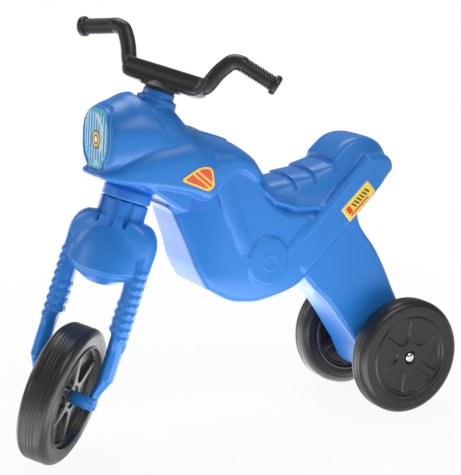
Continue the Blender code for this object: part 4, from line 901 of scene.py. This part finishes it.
def build_body_stickers(shell):
    tree = BVHTree.FromPolygons([v.co for v in shell.data.vertices],
        [tuple(p.vertices) for p in shell.data.polygons])
    ox, oy, _ = ORIGIN
    decal("lamp_sticker", tree, lamp_outline(), LAMP_CENTRE, (1, 0),
        lambda p: ((p[0] + ox, -0.6 + oy, p[1]), (0, 1, 0)), LENS, "frame", "blue_plastic")
    badge = rounded([(-0.35, 0.3755), (-0.319, 0.3905), (-0.3, 0.389), (-0.2965, 0.362), (-0.306, 0.355)],
        0.008)
    panel = rounded([(-0.094, 0.303), (-0.051, 0.34), (-0.0365, 0.323), (-0.079, 0.284)], 0.0016)
    for side, label in SIDES:
        def cast(p, side=side):
            return (side * 0.12 + ox, p[0] + oy, p[1]), (-side, 0, 0)
        for name, outline, along, material in (("badge_sticker_", badge, (1, 0.35), BADGE),
                ("panel_sticker_", panel, (0.043, 0.037), PANEL)):
            decal(name + label, tree, outline, outline.mean(0), along, cast, material, "frame",
                "blue_plastic")


def build_dial():
    """The printed pad on the handlebar's cover, in the steering frame."""
    half, depth = 0.0435, 0.014
    x = half - depth
    outline = arc((x, BLOCK_MIDDLE), depth, -90, 90, 23) + arc((-x, BLOCK_MIDDLE), depth, 90, 270, 23)
    corners = [(x, y, BLOCK_TOP) for x, y in ((-1, -1), (1, -1), (1, 1), (-1, 1))]
    flat = BVHTree.FromPolygons(corners, [(0, 1, 2, 3)])
    pad = decal("dial_sticker", flat, outline, (0, BLOCK_MIDDLE), (1, 0),
        lambda p: ((*p, BLOCK_TOP + 0.1), (0, 0, -1)), DIAL, "steering", "black_plastic")
    pad.data.transform(STEER_WORLD)


# Fork

def fork_leg(side):
    """A leg's sections: an outer half with bellows ribs, a ridge down the front, an inner half."""
    chamfer = FRONT_AXLE + 0.0345
    tip = FRONT_AXLE + 0.0112
    foot_outer = 0.048
    rings = []
    low = FRONT_AXLE + 0.013
    for t in (*np.linspace(RIB_TOP + 0.026, low, 230), low - 0.009, low - 0.0185):
        inner = 0.04 - 0.0045 * ease(t, WAIST - 0.004, WAIST + 0.004)
        outer = FORK_HALF - 0.001
        depth = 0.033 - 0.007 * ease(t, WAIST - RIB_PITCH, WAIST - RIB_PITCH - 0.012)
        if t < chamfer:
            s = min(1, (chamfer - t) / (chamfer - tip))
            outer -= 0.001 + (outer - 0.001 - foot_outer) * s
            inner -= 0.004 * s
            depth -= 0.002 + 0.005 * s
        if t < tip:
            depth -= 0.004
        phase = (RIB_TOP + 0.5 * RIB_PITCH - t) / RIB_PITCH
        index = math.floor(phase)
        wave = 0
        if 0 <= index < RIBS:
            wave = ease(0.5 - abs(phase - index - 0.5), 0.1, 0.3)
        outer_rib = 0.0021 * wave
        inner_rib = 0.0017 * wave if 4 <= index < RIBS - 1 else 0
        # Behind the ribs the leg's outer side is plain
        crest = 0.0018 * ease(t, WAIST - 2.5 * RIB_PITCH, WAIST - 1.5 * RIB_PITCH)
        ridge = outer - 0.0115 if t > chamfer else (inner + outer) / 2
        flank = inner + 0.0045 - inner_rib * 0.6
        ring = [(inner - inner_rib, -0.35, 0), (flank, -0.8, inner_rib), (ridge, -1, 0),
            (outer - 0.004 + outer_rib * 0.6, -0.8, outer_rib), (outer + outer_rib, -0.35, 0),
            (outer + crest, 0.15, 0), (outer + crest, 0.35, 0), (outer - 0.004 + crest * 0.6, 0.8, 0),
            (ridge, 1, 0), (flank, 0.8, inner_rib), (inner - inner_rib, 0.35, 0)]
        rings.append([(side * px, py * depth / 2 + math.copysign(lift, py) - AXLE_OFFSET * 0.5, t)
            for px, py, lift in ring])
    return loft(rings)


def crown_form():
    """Crown: from the collar out and down to the legs, squarer as it widens."""
    drop, span, thin = 0.042, FORK_HALF - COLLAR_RADIUS, 0.0165
    c, s = full_turn(96, 0.5)
    rings = []
    for down, wide, deep in curve([(0, 0, 1), (0.06, 0.42, 1.03), (0.24, 0.72, 1),
            (0.5, 0.92, 0.92), (0.8, 1, 0.74), (1.12, 1, 0.45), (1.36, 0.97, 0.12)], 36):
        power = 1 - 0.3 * np.clip(wide, 0, 1)
        x = (COLLAR_RADIUS + span * wide) * squared(c, power)
        y = (thin + (COLLAR_RADIUS - thin) * deep) * squared(s, power)
        rings.append(np.stack([x, y, np.full(96, FORK_SHOULDER - drop * down)], -1))
    return loft(rings)


def dome_form():
    """Mudguard dome: swells forward and back from the crown to a sharp rim, then turns under."""
    height, under_depth = 0.066, 0.018
    rim = FORK_SHOULDER - 0.009 - height
    c, s = full_turn(96, 0.5)
    upper = curve([(1, 0.5, 0.8), (0.8, 0.74, 0.9), (0.57, 0.9, 0.97), (0.35, 0.97, 1),
        (0.12, 1, 1), (0, 1, 1)], 30)
    under = curve([(-0.05, 0.955, 0.94), (-0.5, 0.84, 0.8), (-1, 0.52, 0.5)], 10)
    rings = []
    for up, width, depth in np.vstack([upper, under]):
        lift = 0.007 * c * c * np.clip(1 - 1.6 * up, 0, 1)
        z = rim + (height if up > 0 else under_depth) * up + lift
        rings.append(np.stack([0.0515 * width * squared(c, 0.8), 0.0375 * depth * squared(s, 0.8), z], -1))
    return loft(rings)


def collar_form():
    """The fork's collar, and the stem that runs up through the neck to the handlebar."""
    r, stem_top = COLLAR_RADIUS, BLOCK_BOTTOM - 0.0015
    return turned([(0, FORK_SHOULDER - 0.045), (STEM_RADIUS, FORK_SHOULDER - 0.045),
        (r, FORK_SHOULDER - 0.03), (r, FORK_COLLAR_TOP - 0.0015), (r - 0.0015, FORK_COLLAR_TOP),
        (STEM_RADIUS, FORK_COLLAR_TOP), (STEM_RADIUS, stem_top), (0, stem_top)])


def carve_flutes(mesh):
    """Round flutes down the collar, front and back, fading out on the shoulders."""
    co = vectors_of(mesh, "co")
    foot = FORK_SHOULDER - 0.0175
    for angle in (face + math.radians(36 * k) for face in (-math.pi / 2, math.pi / 2) for k in (-1, 0, 1)):
        ux, uy = math.cos(angle), math.sin(angle)
        dx = co[:, 0] - (COLLAR_RADIUS + 0.0008) * ux
        dy = co[:, 1] - (COLLAR_RADIUS + 0.0008) * uy
        reach = 0.005 * ease(co[:, 2], foot, foot + 0.007)
        inside = (np.hypot(dx, dy) < reach) & (co[:, 2] < FORK_COLLAR_TOP + 0.001) & (co[:, 2] > foot)
        # Pushed straight in towards the axis, onto the flute's wall
        across = dy * ux - dx * uy
        wall = -np.sqrt(np.maximum(reach ** 2 - across ** 2, 0))
        move = np.where(inside, np.minimum(wall - (dx * ux + dy * uy), 0), 0)
        co[:, 0] += move * ux
        co[:, 1] += move * uy
    set_points(mesh, co)


def build_fork():
    obj = fuse("fork_shell", [crown_form(), dome_form(), collar_form(), fork_leg(1), fork_leg(-1)], 0.001, 3)
    carve_flutes(obj.data)
    relax(obj.data, 2, 0.4)
    obj.data.transform(STEER_WORLD)
    dress(obj, BLUE, "steering", "blue_plastic", "fork")
    # Axle bosses as separate turned tubes, with the well in their outer ends
    inner, outer, radius, well, bore, floor = 0.015, 0.0475, 0.0092, 0.0067, 0.0043, 0.0435
    profile = [(bore, inner), (radius - 0.0006, inner), (radius, inner + 0.0006), (radius, outer - 0.0008),
        (radius - 0.0008, outer), (well + 0.0005, outer), (well, outer - 0.0006), (well, floor),
        (bore, floor)]
    for side, label in SIDES:
        make_piece("axle_boss_" + label, turned([(r, side * v) for r, v in profile], 64, "X"), AXLE_FRAME,
            BLUE, "steering", "blue_plastic")


# Handlebar

def block_form():
    """Middle block: flat top, round ends, and an underside that bulges forward over the skirt."""
    half = [(0.7, 1, 0), (0.86, 0.96, 0.07), (0.95, 0.82, 0.24), (0.985, 0.66, 0.42), (1, 0.5, 0.6)]
    mirrored = [(-x, depth, low) for x, depth, low in reversed(half)]
    rings = []
    for x, depth, low in curve(mirrored + [(-0.4, 1, 0), (0.4, 1, 0)] + half, 60):
        d = BLOCK_HALF_DEPTH * depth
        bottom = SKIRT_TOP + 0.0004 + (BLOCK_TOP - SKIRT_TOP) * max(low, 0)
        tall = BLOCK_TOP - bottom
        full = depth ** 3
        # (share of the depth, bulge forward, share of the height)
        section = [(0.96, 0, 1), (1, 0, 0.5), (0.93, 0, 0.26), (0.8, 0, 0.09), (0.62, 0, 0),
            (-0.62, 0.0095, 0), (-0.8, 0.0105, 0.06), (-0.93, 0.01, 0.2), (-1, 0.007, 0.42),
            (-1, 0.0024, 0.68)]
        ring = [(d * share - bulge * full, bottom + tall * up) for share, bulge, up in section]
        ring = ([(-d * 0.96, BLOCK_TOP), ring[0], (d, BLOCK_TOP - 0.0012)] + ring[1:]
            + [(-d, BLOCK_TOP - 0.0012)])
        rings.append([(BLOCK_HALF * x, BLOCK_MIDDLE + y, z) for y, z in ring])
    return loft(rings)


def skirt_form():
    """Ring under the block, over the neck's top."""
    inner, outer = STEM_RADIUS + 0.0003, 0.0275
    return turned([(inner, SKIRT_BOTTOM), (outer - 0.0008, SKIRT_BOTTOM), (outer, SKIRT_BOTTOM + 0.0008),
        (outer, SKIRT_TOP - 0.0006), (outer - 0.0013, SKIRT_TOP + 0.0002), (0.018, BLOCK_BOTTOM + 0.004),
        (inner, BLOCK_BOTTOM + 0.004)])


def bar_form(side):
    """A bent tube from the block up and out to its grip."""
    gx, gy, gz = GRIP_START
    middle = BLOCK_HEIGHT * 0.5
    points = [(0.0425, 0.013, middle), (0.0545, 0.013, middle + 0.0015),
        (BLOCK_HALF * 0.55 + gx * 0.36, 0.0135, middle * 0.9 + gz * 0.42),
        (BLOCK_HALF * 0.3 + gx * 0.6, 0.0145, gz - 0.011), (gx - 0.0105, gy - 0.002, gz - 0.0018),
        GRIP_START, GRIP_START + 0.1 * (GRIP_END - GRIP_START)]
    path = curve(points, 60) * (side, 1, 1) + (0, 0, BLOCK_BOTTOM)
    return tube(path, headings(path), [BAR_RADIUS] * 60, 48)


def grip_form(side):
    """Grip: fine ribs on top and below, a smooth band along each side, and a bulbous end."""
    bulb = [(0.0003, 0.0108), (0.0009, 0.0122), (0.0018, 0.0132), (0.0032, 0.0137), (0.0055, 0.0138),
        (0.0074, 0.0134), (0.0086, 0.0126), (0.0093, 0.0114), (0.0096, 0.0098), (0.0096, 0.004)]
    start, end = (p * (side, 1, 1) + (0, 0, BLOCK_BOTTOM) for p in (GRIP_START, GRIP_END))
    along = (end - start) / np.linalg.norm(end - start)
    length = np.linalg.norm(end - start) - bulb[-1][0]
    ribbed = ease(np.abs(full_turn(64)[0]), 0.35, 0.6)
    distances = list(np.linspace(0.0005, length, 150))
    radii = []
    for d in distances:
        turns = GRIP_RIBS * max(0, d - 0.002) / (length - 0.002)
        wave = (0.5 - 0.5 * math.cos(2 * math.pi * turns)) ** 0.8
        radii.append(0.0092 + 0.0014 * wave * ribbed + 0.001 * (1 - ribbed))
    distances += [length + d for d, _ in bulb]
    radii += [r for _, r in bulb]
    return tube([start + along * d for d in distances], [along] * len(distances), radii, 64)


def build_handlebar():
    obj = fuse("handlebar_bar", [block_form(), skirt_form(), bar_form(1), bar_form(-1)], 0.0009, 3)
    obj.data.transform(STEER_WORLD)
    dress(obj, BLACK, "steering", "black_plastic", "handlebar")
    for side, label in SIDES:
        make_piece("grip_" + label, grip_form(side), STEER_WORLD, BLACK, "steering", "black_plastic")


# Wheels

def polygon_distance(px, py, corners):
    """Signed distance to a polygon in the plane, negative inside."""
    best = np.full(px.shape, 1e9)
    inside = np.zeros(px.shape, bool)
    for (x0, y0), (x1, y1) in zip(corners, corners[1:] + corners[:1]):
        dx, dy = x1 - x0, y1 - y0
        t = np.clip(((px - x0) * dx + (py - y0) * dy) / (dx * dx + dy * dy), 0, 1)
        best = np.minimum(best, np.hypot(px - x0 - t * dx, py - y0 - t * dy))
        inside ^= ((y0 > py) != (y1 > py)) & (px < dx * (py - y0) / (dy + 1e-12) + x0)
    return np.where(inside, -best, best)


def wheel_side(radius, half, rim, dish, hub, has_well):
    """(radius, half-width) points of one side of a wheel, from its bore to its tread."""
    bore, shoulder, web = 0.0046, 0.011, half - dish
    profile = [(bore, hub)]
    if has_well:
        hub -= 0.0014
        floor = half - CAP_WELL
        profile = [(bore, floor), (0.009, floor), (0.0092, floor + 0.0008), (0.0092, hub - 0.0008),
            (0.0098, hub)]
    # The hub's edge drops to the web, or stays where the hub lies deeper than the web
    profile += [(0.014, hub), (0.0152, hub - 0.0003), (0.0158, min(hub, web))]
    profile += [(r, web) for r in np.arange(0.0165, rim - 0.0036, 0.0007)]
    bead = half - 0.001
    profile += [(rim - 0.0032, web), (rim - 0.0024, web + 0.0002 + dish * 0.15)]
    profile += [(rim + r, bead + v) for r, v in ((-0.0016, -0.0008), (-0.001, 0.0008), (-0.0004, 0.0014),
        (0.0004, 0.0014), (0.001, 0.0008), (0.0016, -0.0005), (0.0028, -0.0004))]
    # Side of the tyre, a slow swell into the round shoulder
    r0, r1 = rim + 0.0028, radius - shoulder
    for q in np.linspace(0.08, 1, 12):
        swell = 0.0014 * math.sin(math.pi * 0.5 * min(1, q * 1.4))
        profile.append((r0 + (r1 - r0) * q, bead - 0.0004 + swell - 0.0004 * q))
    for t in np.radians(np.linspace(6, 90, 15)):
        profile.append((r1 + shoulder * math.sin(t), half - shoulder * (1 - math.cos(t))))
    return profile


def wheel_tread(radius, half, lines):
    """(radius, x) points across the tread, with fine lines cut round it."""
    edge = half - 0.011
    tread = []
    for v in np.linspace(edge, -edge, 90)[1:-1]:
        cut = sum(0.0006 * max(0, 1 - abs(v - line) / 0.0009) for line in lines)
        swell = 0.0004 * math.cos(math.pi * v / (2 * edge))
        tread.append((radius - 0.0004 + swell - cut, v))
    return tread


def pocket_depth(y, z, outer):
    """Share of the web's pockets' depth at each point: round at their inner ends, with even spokes."""
    spoke_half, inner, near_hub = 0.0048, 0.0205, 0.03

    def half_angle(radius):
        return math.pi / POCKETS - math.asin(spoke_half / radius)

    deep = np.zeros(y.shape)
    inner_end = [(near_hub, half_angle(near_hub)), (0.0252, 0.315), (0.022, 0.215), (inner, 0)]
    polar = [(outer, half_angle(outer) * s) for s in np.linspace(-1, 1, 9)]
    polar += inner_end + [(r, -a) for r, a in reversed(inner_end[:-1])]
    # The floor is deepest towards the hub
    tilt = 0.72 + 0.28 * ease(np.hypot(y, z), outer, inner)
    for k in range(POCKETS):
        middle = 2 * math.pi * k / POCKETS
        corners = [(r * math.cos(middle + a), r * math.sin(middle + a)) for r, a in polar]
        d = polygon_distance(y, z, corners)
        deep = np.maximum(deep, (1 - ease(d, -0.0012, 0.0003)) * tilt)
    return deep


def wheel_form(radius, width, rim, dish, pocket, hub_half, well_side, lines, roll):
    """A wheel on the X axis: tyre, fine tread lines, rim bead, web with rounded pockets, hub."""
    half = width / 2

    def points(side):
        return [(r, side * v) for r, v in wheel_side(radius, half, rim, dish, hub_half, side == well_side)]

    profile = np.array(points(1) + wheel_tread(radius, half, lines) + points(-1)[::-1])
    c, s = full_turn(320)
    r = np.tile(profile[:, 0], (320, 1))
    v = np.tile(profile[:, 1], (320, 1))
    y, z = r * c[:, None], r * s[:, None]
    on_web = (r > 0.016) & (r < rim - 0.0034)
    v -= np.where(on_web, np.sign(v) * pocket * pocket_depth(y, z, rim - 0.0055), 0)
    turn = np.array(Matrix.Rotation(roll, 3, "X"))
    return loft(np.stack([v, y, z], -1) @ turn.T, closed=True)


def push_cap_form(side):
    """Bright domed push cap in the rear wheel's outer well."""
    base = REAR_MIDDLE + REAR_WIDTH / 2 - CAP_WELL + 0.002
    radius, bore, rise = 0.007, 0.0043, 0.003
    profile = [(bore, base), (radius + 0.0004, base), (radius + 0.0006, base + 0.0006),
        (radius + 0.0002, base + 0.0012), (radius, base + rise)]
    profile += [(radius * math.cos(t), base + rise + 0.0036 * math.sin(t))
        for t in np.radians(np.linspace(12, 88, 9))]
    profile += [(0, base + 0.0066), (0, base + 0.0054), (bore, base + 0.004)]
    return turned([(r, side * v) for r, v in profile], 64, "X")


def build_wheels():
    # One of the front wheel's spokes points straight down
    down = STEER_FRAME.to_3x3().transposed() @ Vector((0, 0, -1))
    roll = math.atan2(down.z, down.y) + math.pi / 2
    rear_axle = TO_WORLD @ Matrix.Translation((0, 0, REAR_AXLE))
    form = wheel_form(FRONT_RADIUS, FRONT_WIDTH, rim=0.0716, dish=0.0075, pocket=0.008, hub_half=0.0125,
        well_side=0, lines=(-0.0046, 0, 0.0046), roll=roll)
    make_piece("front_tyre_and_web", form, AXLE_FRAME, WHEEL, "front_wheel", "wheel_plastic", "front_wheel")
    for side, label in SIDES:
        node = "rear_wheel_" + label
        form = wheel_form(REAR_RADIUS, REAR_WIDTH, rim=0.058, dish=0.0026, pocket=0.003, hub_half=0.016,
            well_side=side, lines=(-0.0096, 0.0096), roll=math.radians(-8))
        place = rear_axle @ Matrix.Translation((side * REAR_MIDDLE, 0, 0))
        make_piece("rear_wheel_shell_" + label, form, place, WHEEL, node, "wheel_plastic", node)
        make_piece("push_cap_" + label, push_cap_form(side), rear_axle, CHROME, "frame", "bright_cap",
            "rear_axle_cap_" + label)


# Stage, lights and camera

def build_stage():
    """A round white floor that keeps the toy's shadow near it and is plain white further out."""
    radius, near, far = 14, 0.4, 1
    n = Nodes(bpy.data.materials.new("white_floor"))
    n.feed(n.shader, {"Roughness": 0.9, "Specular IOR Level": 0.1, "Base Color": n.blotch(n.noise(3, 2),
        (0.915, 0.915, 0.915), (0.93, 0.93, 0.93))})
    place = n.add("ShaderNodeTexCoord", {}).outputs["Object"]
    length = n.add("ShaderNodeVectorMath", {0: place}, operation="LENGTH").outputs["Value"]
    rays = n.add("ShaderNodeLightPath", {})
    plain = n.spread(length, near, far, 0.92, 1)
    seen = n.math("MAXIMUM", n.times(rays.outputs["Is Camera Ray"], plain), rays.outputs["Is Glossy Ray"])
    glow = n.add("ShaderNodeEmission", {"Color": (1, 1, 1, 1), "Strength": 1})
    mixed = n.add("ShaderNodeMixShader", {0: seen, 1: n.shader.outputs[0], 2: glow.outputs[0]})
    n.feed(n.tree.nodes["Material Output"], {"Surface": mixed.outputs[0]})
    c, s = full_turn(64)
    ring = np.stack([radius * c, radius * s, 0 * c], -1)
    sweep = make_object("floor", [(ring, [list(range(64))])])
    sweep.data.materials.append(n.owner)


def build_world():
    """A dim even surround that the camera sees as white."""
    world = bpy.data.worlds.new("studio")
    bpy.context.scene.world = world
    n = Nodes(world)
    rays = n.add("ShaderNodeLightPath", {}).outputs
    seen = n.math("MAXIMUM", rays["Is Camera Ray"], rays["Is Transmission Ray"])
    n.feed(n.tree.nodes["Background"], {"Color": (1, 1, 1, 1), "Strength": n.spread(seen, 0, 1, 0.26, 1)})


# Lamps as (name, place, size, watts), aimed at the toy's middle. Those on the floor look straight up
ON_FLOOR = 0.004
LAMPS = [
    ("key_top", (-0.6, 0.3, 1.9), (1.2, 1), 15),
    ("front_far", (-1.2, -1.5, 1.3), (0.8, 0.8), 7),
    ("side_right", (1.5, 0.5, 1.7), (1.2, 1), 14),
    ("front_low", (-0.1, -1.7, 0.35), (1.4, 0.6), 0.8),
    ("front_high", (0.12, -1.65, 0.72), (0.5, 0.35), 2.1),
    ("front_floor", (0.22, -0.52, ON_FLOOR), (0.36, 0.36), 0.8),
    ("far_side", (-1.9, -0.25, 0.3), (1.6, 0.5), 5),
    ("near_floor", (0.4, -0.05, ON_FLOOR), (0.5, 0.5), 2.4),
    ("far_floor", (-0.5, -0.08, ON_FLOOR), (0.96, 1.1), 6.5)]


def build_lights():
    """Soft lamps round the toy, and three that lie on the floor and stand for its bounced light."""
    middle = Vector((0, -0.05, 0.28))
    for name, place, size, power in LAMPS:
        data = bpy.data.lights.new(name, "AREA")
        data.shape = "RECTANGLE"
        data.size, data.size_y = size
        data.energy = power
        lamp = add_object(name, data)
        lamp.location = place
        target = Vector((*place[:2], 1)) if place[2] == ON_FLOOR else middle
        lamp.rotation_mode = "QUATERNION"
        lamp.rotation_quaternion = (target - lamp.location).to_track_quat("-Z", "Y")
        lamp.visible_camera = False


def build_camera():
    """The photograph's viewpoint: its direction, its roll, and what it looks at from how far."""
    azimuth, elevation, roll = (math.radians(a) for a in (60.6379, 14.0823, -0.6726))
    aim, distance = Vector((0.005634, -0.243035, 0.273453)), 2.190585
    data = bpy.data.cameras.new("photo_camera")
    data.lens = 121.263
    data.clip_start = 0.05
    data.clip_end = 50
    camera = add_object("photo_camera", data)
    turn = (Matrix.Rotation(azimuth, 4, "Z") @ Matrix.Rotation(math.pi / 2 - elevation, 4, "X")
        @ Matrix.Rotation(roll, 4, "Z"))
    camera.matrix_world = Matrix.Translation(ORIGIN + aim + turn.to_3x3() @ Vector((0, 0, distance))) @ turn
    bpy.context.scene.camera = camera


def dress_remaining():
    """Better materials for the CAD nodes that stay."""
    for name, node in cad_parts.items():
        if node.hide_render:
            continue
        material = BEARING if name.startswith("neck_bush") else STEEL
        if name == "handlebar_cover":
            material = BLACK
        node.data.materials.clear()
        node.data.materials.append(material)
        node.data.shade_smooth()
        node.data.set_sharp_from_angle(angle=math.radians(40))


build_camera()
build_world()
build_lights()
build_stage()
build_body_stickers(build_body())
build_fork()
build_handlebar()
build_dial()
build_wheels()
dress_remaining()

bpy.context.scene.view_settings.view_transform = "Standard"
